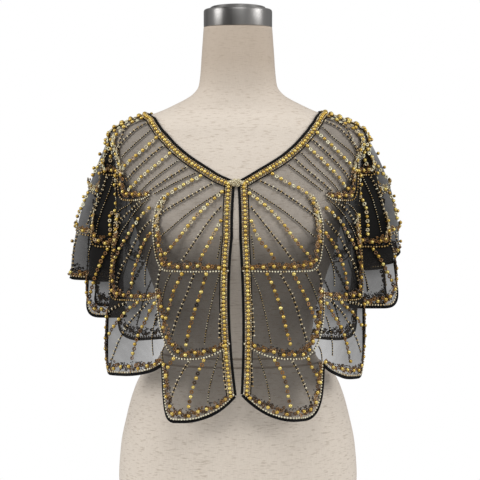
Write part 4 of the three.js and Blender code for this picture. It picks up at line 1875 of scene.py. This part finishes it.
@dataclass
class Bolero:
    """The whole garment: net panels, bindings, beading and closure."""

    finishes: Finishes

    def build(self) -> None:
        """Makes the garment's pieces, panel by panel."""
        for side, drape in DRAPES.items():
            name = f"front_{side.label}"
            net = Panel(name, self.finishes).build([Panel.half(drape, "front")])
            edge = np.concatenate([drape.neckline("seam", "front_edge"), drape.front_edge()[1:]])
            trims = [
                self.binding(f"{name}_ribbon", f"{name}_binding", [(drape, edge, 1)]),
                self.binding(f"{name}_hem_ribbon", f"{name}_hem", [(drape, drape.hem("front"), 1)]),
                *self.border(name, f"{name}_beading", [(drape, edge)]),
                *self.beading(name, [(drape, "front")]),
            ]
        self.back()
        self.closure()

    def back(self) -> None:
        """The back panel and its trims."""
        right, left = DRAPES[Side.RIGHT], DRAPES[Side.LEFT]
        halves = [Panel.half(drape, "back") for drape in (right, left)]
        joined = [tuple(part[::-1] for part in halves[0]), tuple(part[1:] for part in halves[1])]
        net = Panel("back", self.finishes).build(joined)
        necks = [(drape, drape.neckline("back_middle", "seam"), 1) for drape in (right, left)]
        hems = [(drape, drape.hem("back"), -1) for drape in (right, left)]
        trims = [
            self.binding("back_neck_ribbon", "back_neck_binding", necks),
            self.binding("back_hem_ribbon", "back_hem", hems),
            *self.border("back_neck", "back_neck_beading", [neck[:2] for neck in necks]),
            *self.beading("back", [(right, "back"), (left, "back")]),
        ]

    def binding(self, name: str, node: str, runs: list) -> bpy.types.Object:
        """A ribbon folded over cut edges.

        Args:
            name: The piece's name.
            node: The CAD node that it stands for.
            runs: A drape, a line on it, and the side of the line that is beyond the cloth, for each run.

        Returns:
            The ribbon's object.
        """
        beside = BINDING_GAP / 2 + BINDING_WIDTH / 2
        tube = Tube()
        for drape, line, sign in runs:
            tube.section = ellipse(BINDING_WIDTH + BINDING_GAP, BINDING_THICKNESS, beside * sign, 0)
            tube.sweep(drape, drape.resample(line, STRIP_STEP))
        piece = tube.build(name, self.finishes.binding)
        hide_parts(node)
        return piece

    def border(self, name: str, node: str, runs: list) -> list:
        """The beaded border inside cut edges: gold beads between two rows of seeds, and a cord.

        Args:
            name: What its pieces' names start with.
            node: The CAD node that its gold beads stand for.
            runs: A drape and a line on it, for each run.

        Returns:
            Its objects.
        """
        work = Beadwork(f"{name}_border", self.finishes)
        cord = Tube(ellipse(*BORDER_CORD, -BORDER_DEPTH, 1.0, 8))
        for drape, line in runs:
            for row in BORDER_ROWS:
                work.lay(row, drape, line)
            cord.sweep(drape, drape.resample(line, STRIP_STEP))
        pieces = work.build()
        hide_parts(node)
        pieces.append(cord.build(f"{name}_border_cord", self.finishes.binding))
        return pieces

    def beading(self, name: str, halves: list) -> list:
        """The fans on a panel, and the beaded band along its hem.

        Args:
            name: What its pieces' names start with.
            halves: A drape, and which part of it, for each half.

        Returns:
            Its objects.
        """
        work = Beadwork(name, self.finishes)
        for drape, part in halves:
            columns = drape.scallops
            columns = columns[:FRONT_SCALLOPS] if part == "front" else columns[FRONT_SCALLOPS:]
            for column in columns:
                work.arc(drape, drape.arc(column), HEM_BAND, HEM_PEARLS_INSET)
                self.column(work, drape, column)
            if part == "front":
                self.shoulder_row(work, drape)
        return work.build()

    def column(self, work: Beadwork, drape: Drape, hem: dict) -> None:
        """The fans over one scallop of the hem, from the neckline down.

        Args:
            work: The beadwork that they belong to.
            drape: The side that they lie on.
            hem: The scallop's row of SCALLOPS.
        """
        inner, outer = drape.places[hem["inner"]], drape.places[hem["outer"]]
        tiers = [row for row in FANS if row["inner"] == hem["inner"]] + [hem]
        plans = [row for row in RAYS if row["inner"] == hem["inner"]]
        above = None
        for row, plan in zip(tiers, plans):
            lower = drape.arc(row)
            first = outer - plan["first"] * (outer - inner)
            along = np.linspace(first, inner - plan["past"] * (outer - inner), FINE_STEPS)
            if above is None:
                heights = drape.top(along)
            else:
                order = np.argsort(above[:, 0])
                heights = np.interp(along, above[order, 0], above[order, 1])
            roots = np.stack([along, heights], 1)
            if plan["down"]:
                depth = plan["down"] * (heights[-1] - lower[0, 1])
                down = np.linspace(heights[-1], heights[-1] - depth, FINE_STEPS)[1:]
                roots = np.concatenate([roots, np.stack([np.full_like(down, inner), down], 1)])
            inset = ROOTS_BELOW_BORDER if above is None else ROOTS_BELOW_FAN
            roots = drape.resample(roots, STRIP_STEP)
            roots = drape.shift(roots, drape.rightwards(roots) * inset * work.inwards(lower))
            work.fan(drape, roots, lower, plan)
            if row is not hem:
                work.arc(drape, lower, FAN_BAND)
            above = lower[lower[:, 1] < row["low"] + ROOTS_REACH]

    def shoulder_row(self, work: Beadwork, drape: Drape) -> None:
        """Gold beads, well apart, that stand proud on the shoulder and down the fold below it.

        Args:
            work: The beadwork that they belong to.
            drape: The side that they lie on.
        """
        along = drape.places["shoulder"]
        below_border = float(drape.top(along)) - SHOULDER_START
        for top, bottom, row in SHOULDER_ROWS:
            heights = np.linspace(top or below_border, bottom, FINE_STEPS)
            work.lay(row, drape, np.stack([np.full_like(heights, along), heights], 1))

    def closure(self) -> None:
        """The cluster of sequins over the hook that joins the front edges."""
        low, high = (np.array(corner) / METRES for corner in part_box("closure"))
        middle = (low + high) / 2
        work = Beadwork("closure", self.finishes)
        turn = np.radians(CLOSURE_RING)
        ring = np.stack([np.cos(turn), np.sin(turn)], 1) * CLOSURE_REACH
        x, z = np.concatenate([[(0, 0)], ring, CLOSURE_ENDS]).T
        level = np.ones_like(x)
        seat = np.stack([middle[0] + x, level * (high[1] - CLOSURE_INSET), middle[2] + z], 1)
        outward = np.stack([x, level, level], 1) * CLOSURE_FACING
        outward = unit(outward + work.chance.normal(0, CLOSURE_LEAN_SPREAD, outward.shape))
        tangent = np.tile((1.0, 0, 0), (len(x), 1))
        work.beads[BeadShape.SEQUIN].add(seat, tangent, outward, *CLOSURE_SEQUIN)
        work.beads[BeadShape.SEED].add(
            seat + outward * CLOSURE_SEED_LIFT, tangent, outward, *CLOSURE_SEED
        )
        pieces = work.build()
        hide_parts("closure")


# The studio


# Places in metres and powers in watts. The lights all face one point, and the surround is weaker for the
# part than for the camera
LIGHTS = table(
    "name place size power",
    [
        ("key", (-2.7, -1.1, 1.4), 1.6, 44),
        ("fill", (2.7, -1.1, 1.4), 1.6, 42),
        ("top", (0, -1.4, 2.5), 1.4, 20),
    ],
)
LIGHTS_AIM = (0, 0, 0.4)
SURROUND_STRENGTHS = (0.30, 1.0)
FLOOR_RADIUS = 0.48
FLOOR_HEIGHT = -0.0005
FLOOR_SIDES = 96
CAMERA_PLACE = (0.003, -2.6, 0.536)
CAMERA_AIM = (0.003, 0, 0.442)
CAMERA_SENSOR = 36
CAMERA_LENS = 134.5


def aimed(name: str, data: bpy.types.ID, place: tuple, aim: tuple) -> bpy.types.Object:
    """Stands a light or a camera at a place so that it faces a point.

    Args:
        name: The object's name.
        data: The light or the camera.
        place: Where it stands, in metres.
        aim: The point that it faces.

    Returns:
        The object.
    """
    holder = bpy.data.objects.new(name, data)
    holder.location = place
    holder.rotation_euler = (Vector(aim) - holder.location).to_track_quat("-Z", "Y").to_euler()
    bpy.context.scene.collection.objects.link(holder)
    return holder


def build_lights() -> None:
    """Soft square lights from both sides and above."""
    for row in LIGHTS:
        light = bpy.data.lights.new(row["name"], "AREA")
        light.size = row["size"]
        light.energy = row["power"]
        aimed(row["name"], light, row["place"], LIGHTS_AIM)


def build_surround() -> None:
    """A world that is white to the camera, and a weaker light for the part."""
    world = bpy.data.worlds.new("surround")
    world.use_nodes = True
    back = world.node_tree.nodes["Background"]
    back.inputs["Color"].default_value = (1, 1, 1, 1)
    path = world.node_tree.nodes.new("ShaderNodeLightPath")
    strength = world.node_tree.nodes.new("ShaderNodeMapRange")
    strength.inputs["To Min"].default_value, strength.inputs["To Max"].default_value = SURROUND_STRENGTHS
    world.node_tree.links.new(path.outputs["Is Camera Ray"], strength.inputs["Value"])
    world.node_tree.links.new(strength.outputs[0], back.inputs["Strength"])
    bpy.context.scene.world = world
    bpy.context.scene.view_settings.view_transform = "Standard"


def build_floor() -> None:
    """A round, pale floor just under the form."""
    turn = np.linspace(0, 2 * math.pi, FLOOR_SIDES, endpoint=False)
    level = np.full_like(turn, FLOOR_HEIGHT)
    rim = np.stack([np.cos(turn) * FLOOR_RADIUS, np.sin(turn) * FLOOR_RADIUS, level], 1)
    mesh = bpy.data.meshes.new("floor")
    mesh.from_pydata(rim.tolist(), [], [list(range(len(rim)))])
    shader = Shader("floor")
    grain = shader.noise(shader.object_place(), 30)
    tint = shader.mix(grain, (0.84, 0.84, 0.84), (0.88, 0.88, 0.88))
    mesh.materials.append(shader.done(Base_Color=tint, Roughness=0.9))
    floor = bpy.data.objects.new("floor", mesh)
    bpy.context.scene.collection.objects.link(floor)


def build_camera() -> None:
    """The camera, straight in front of the closure and tilted a little down."""
    camera = bpy.data.cameras.new("camera")
    camera.sensor_width = CAMERA_SENSOR
    camera.lens = CAMERA_LENS
    bpy.context.scene.camera = aimed("camera", camera, CAMERA_PLACE, CAMERA_AIM)


def main() -> None:
    """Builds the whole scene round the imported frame."""
    logging.basicConfig(level=logging.INFO, format="%(message)s")
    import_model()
    build_camera()
    finishes = Finishes.make()
    build_lights()
    build_surround()
    build_floor()
    DressForm(finishes).build()
    Bolero(finishes).build()


if __name__ == "__main__":
    main()
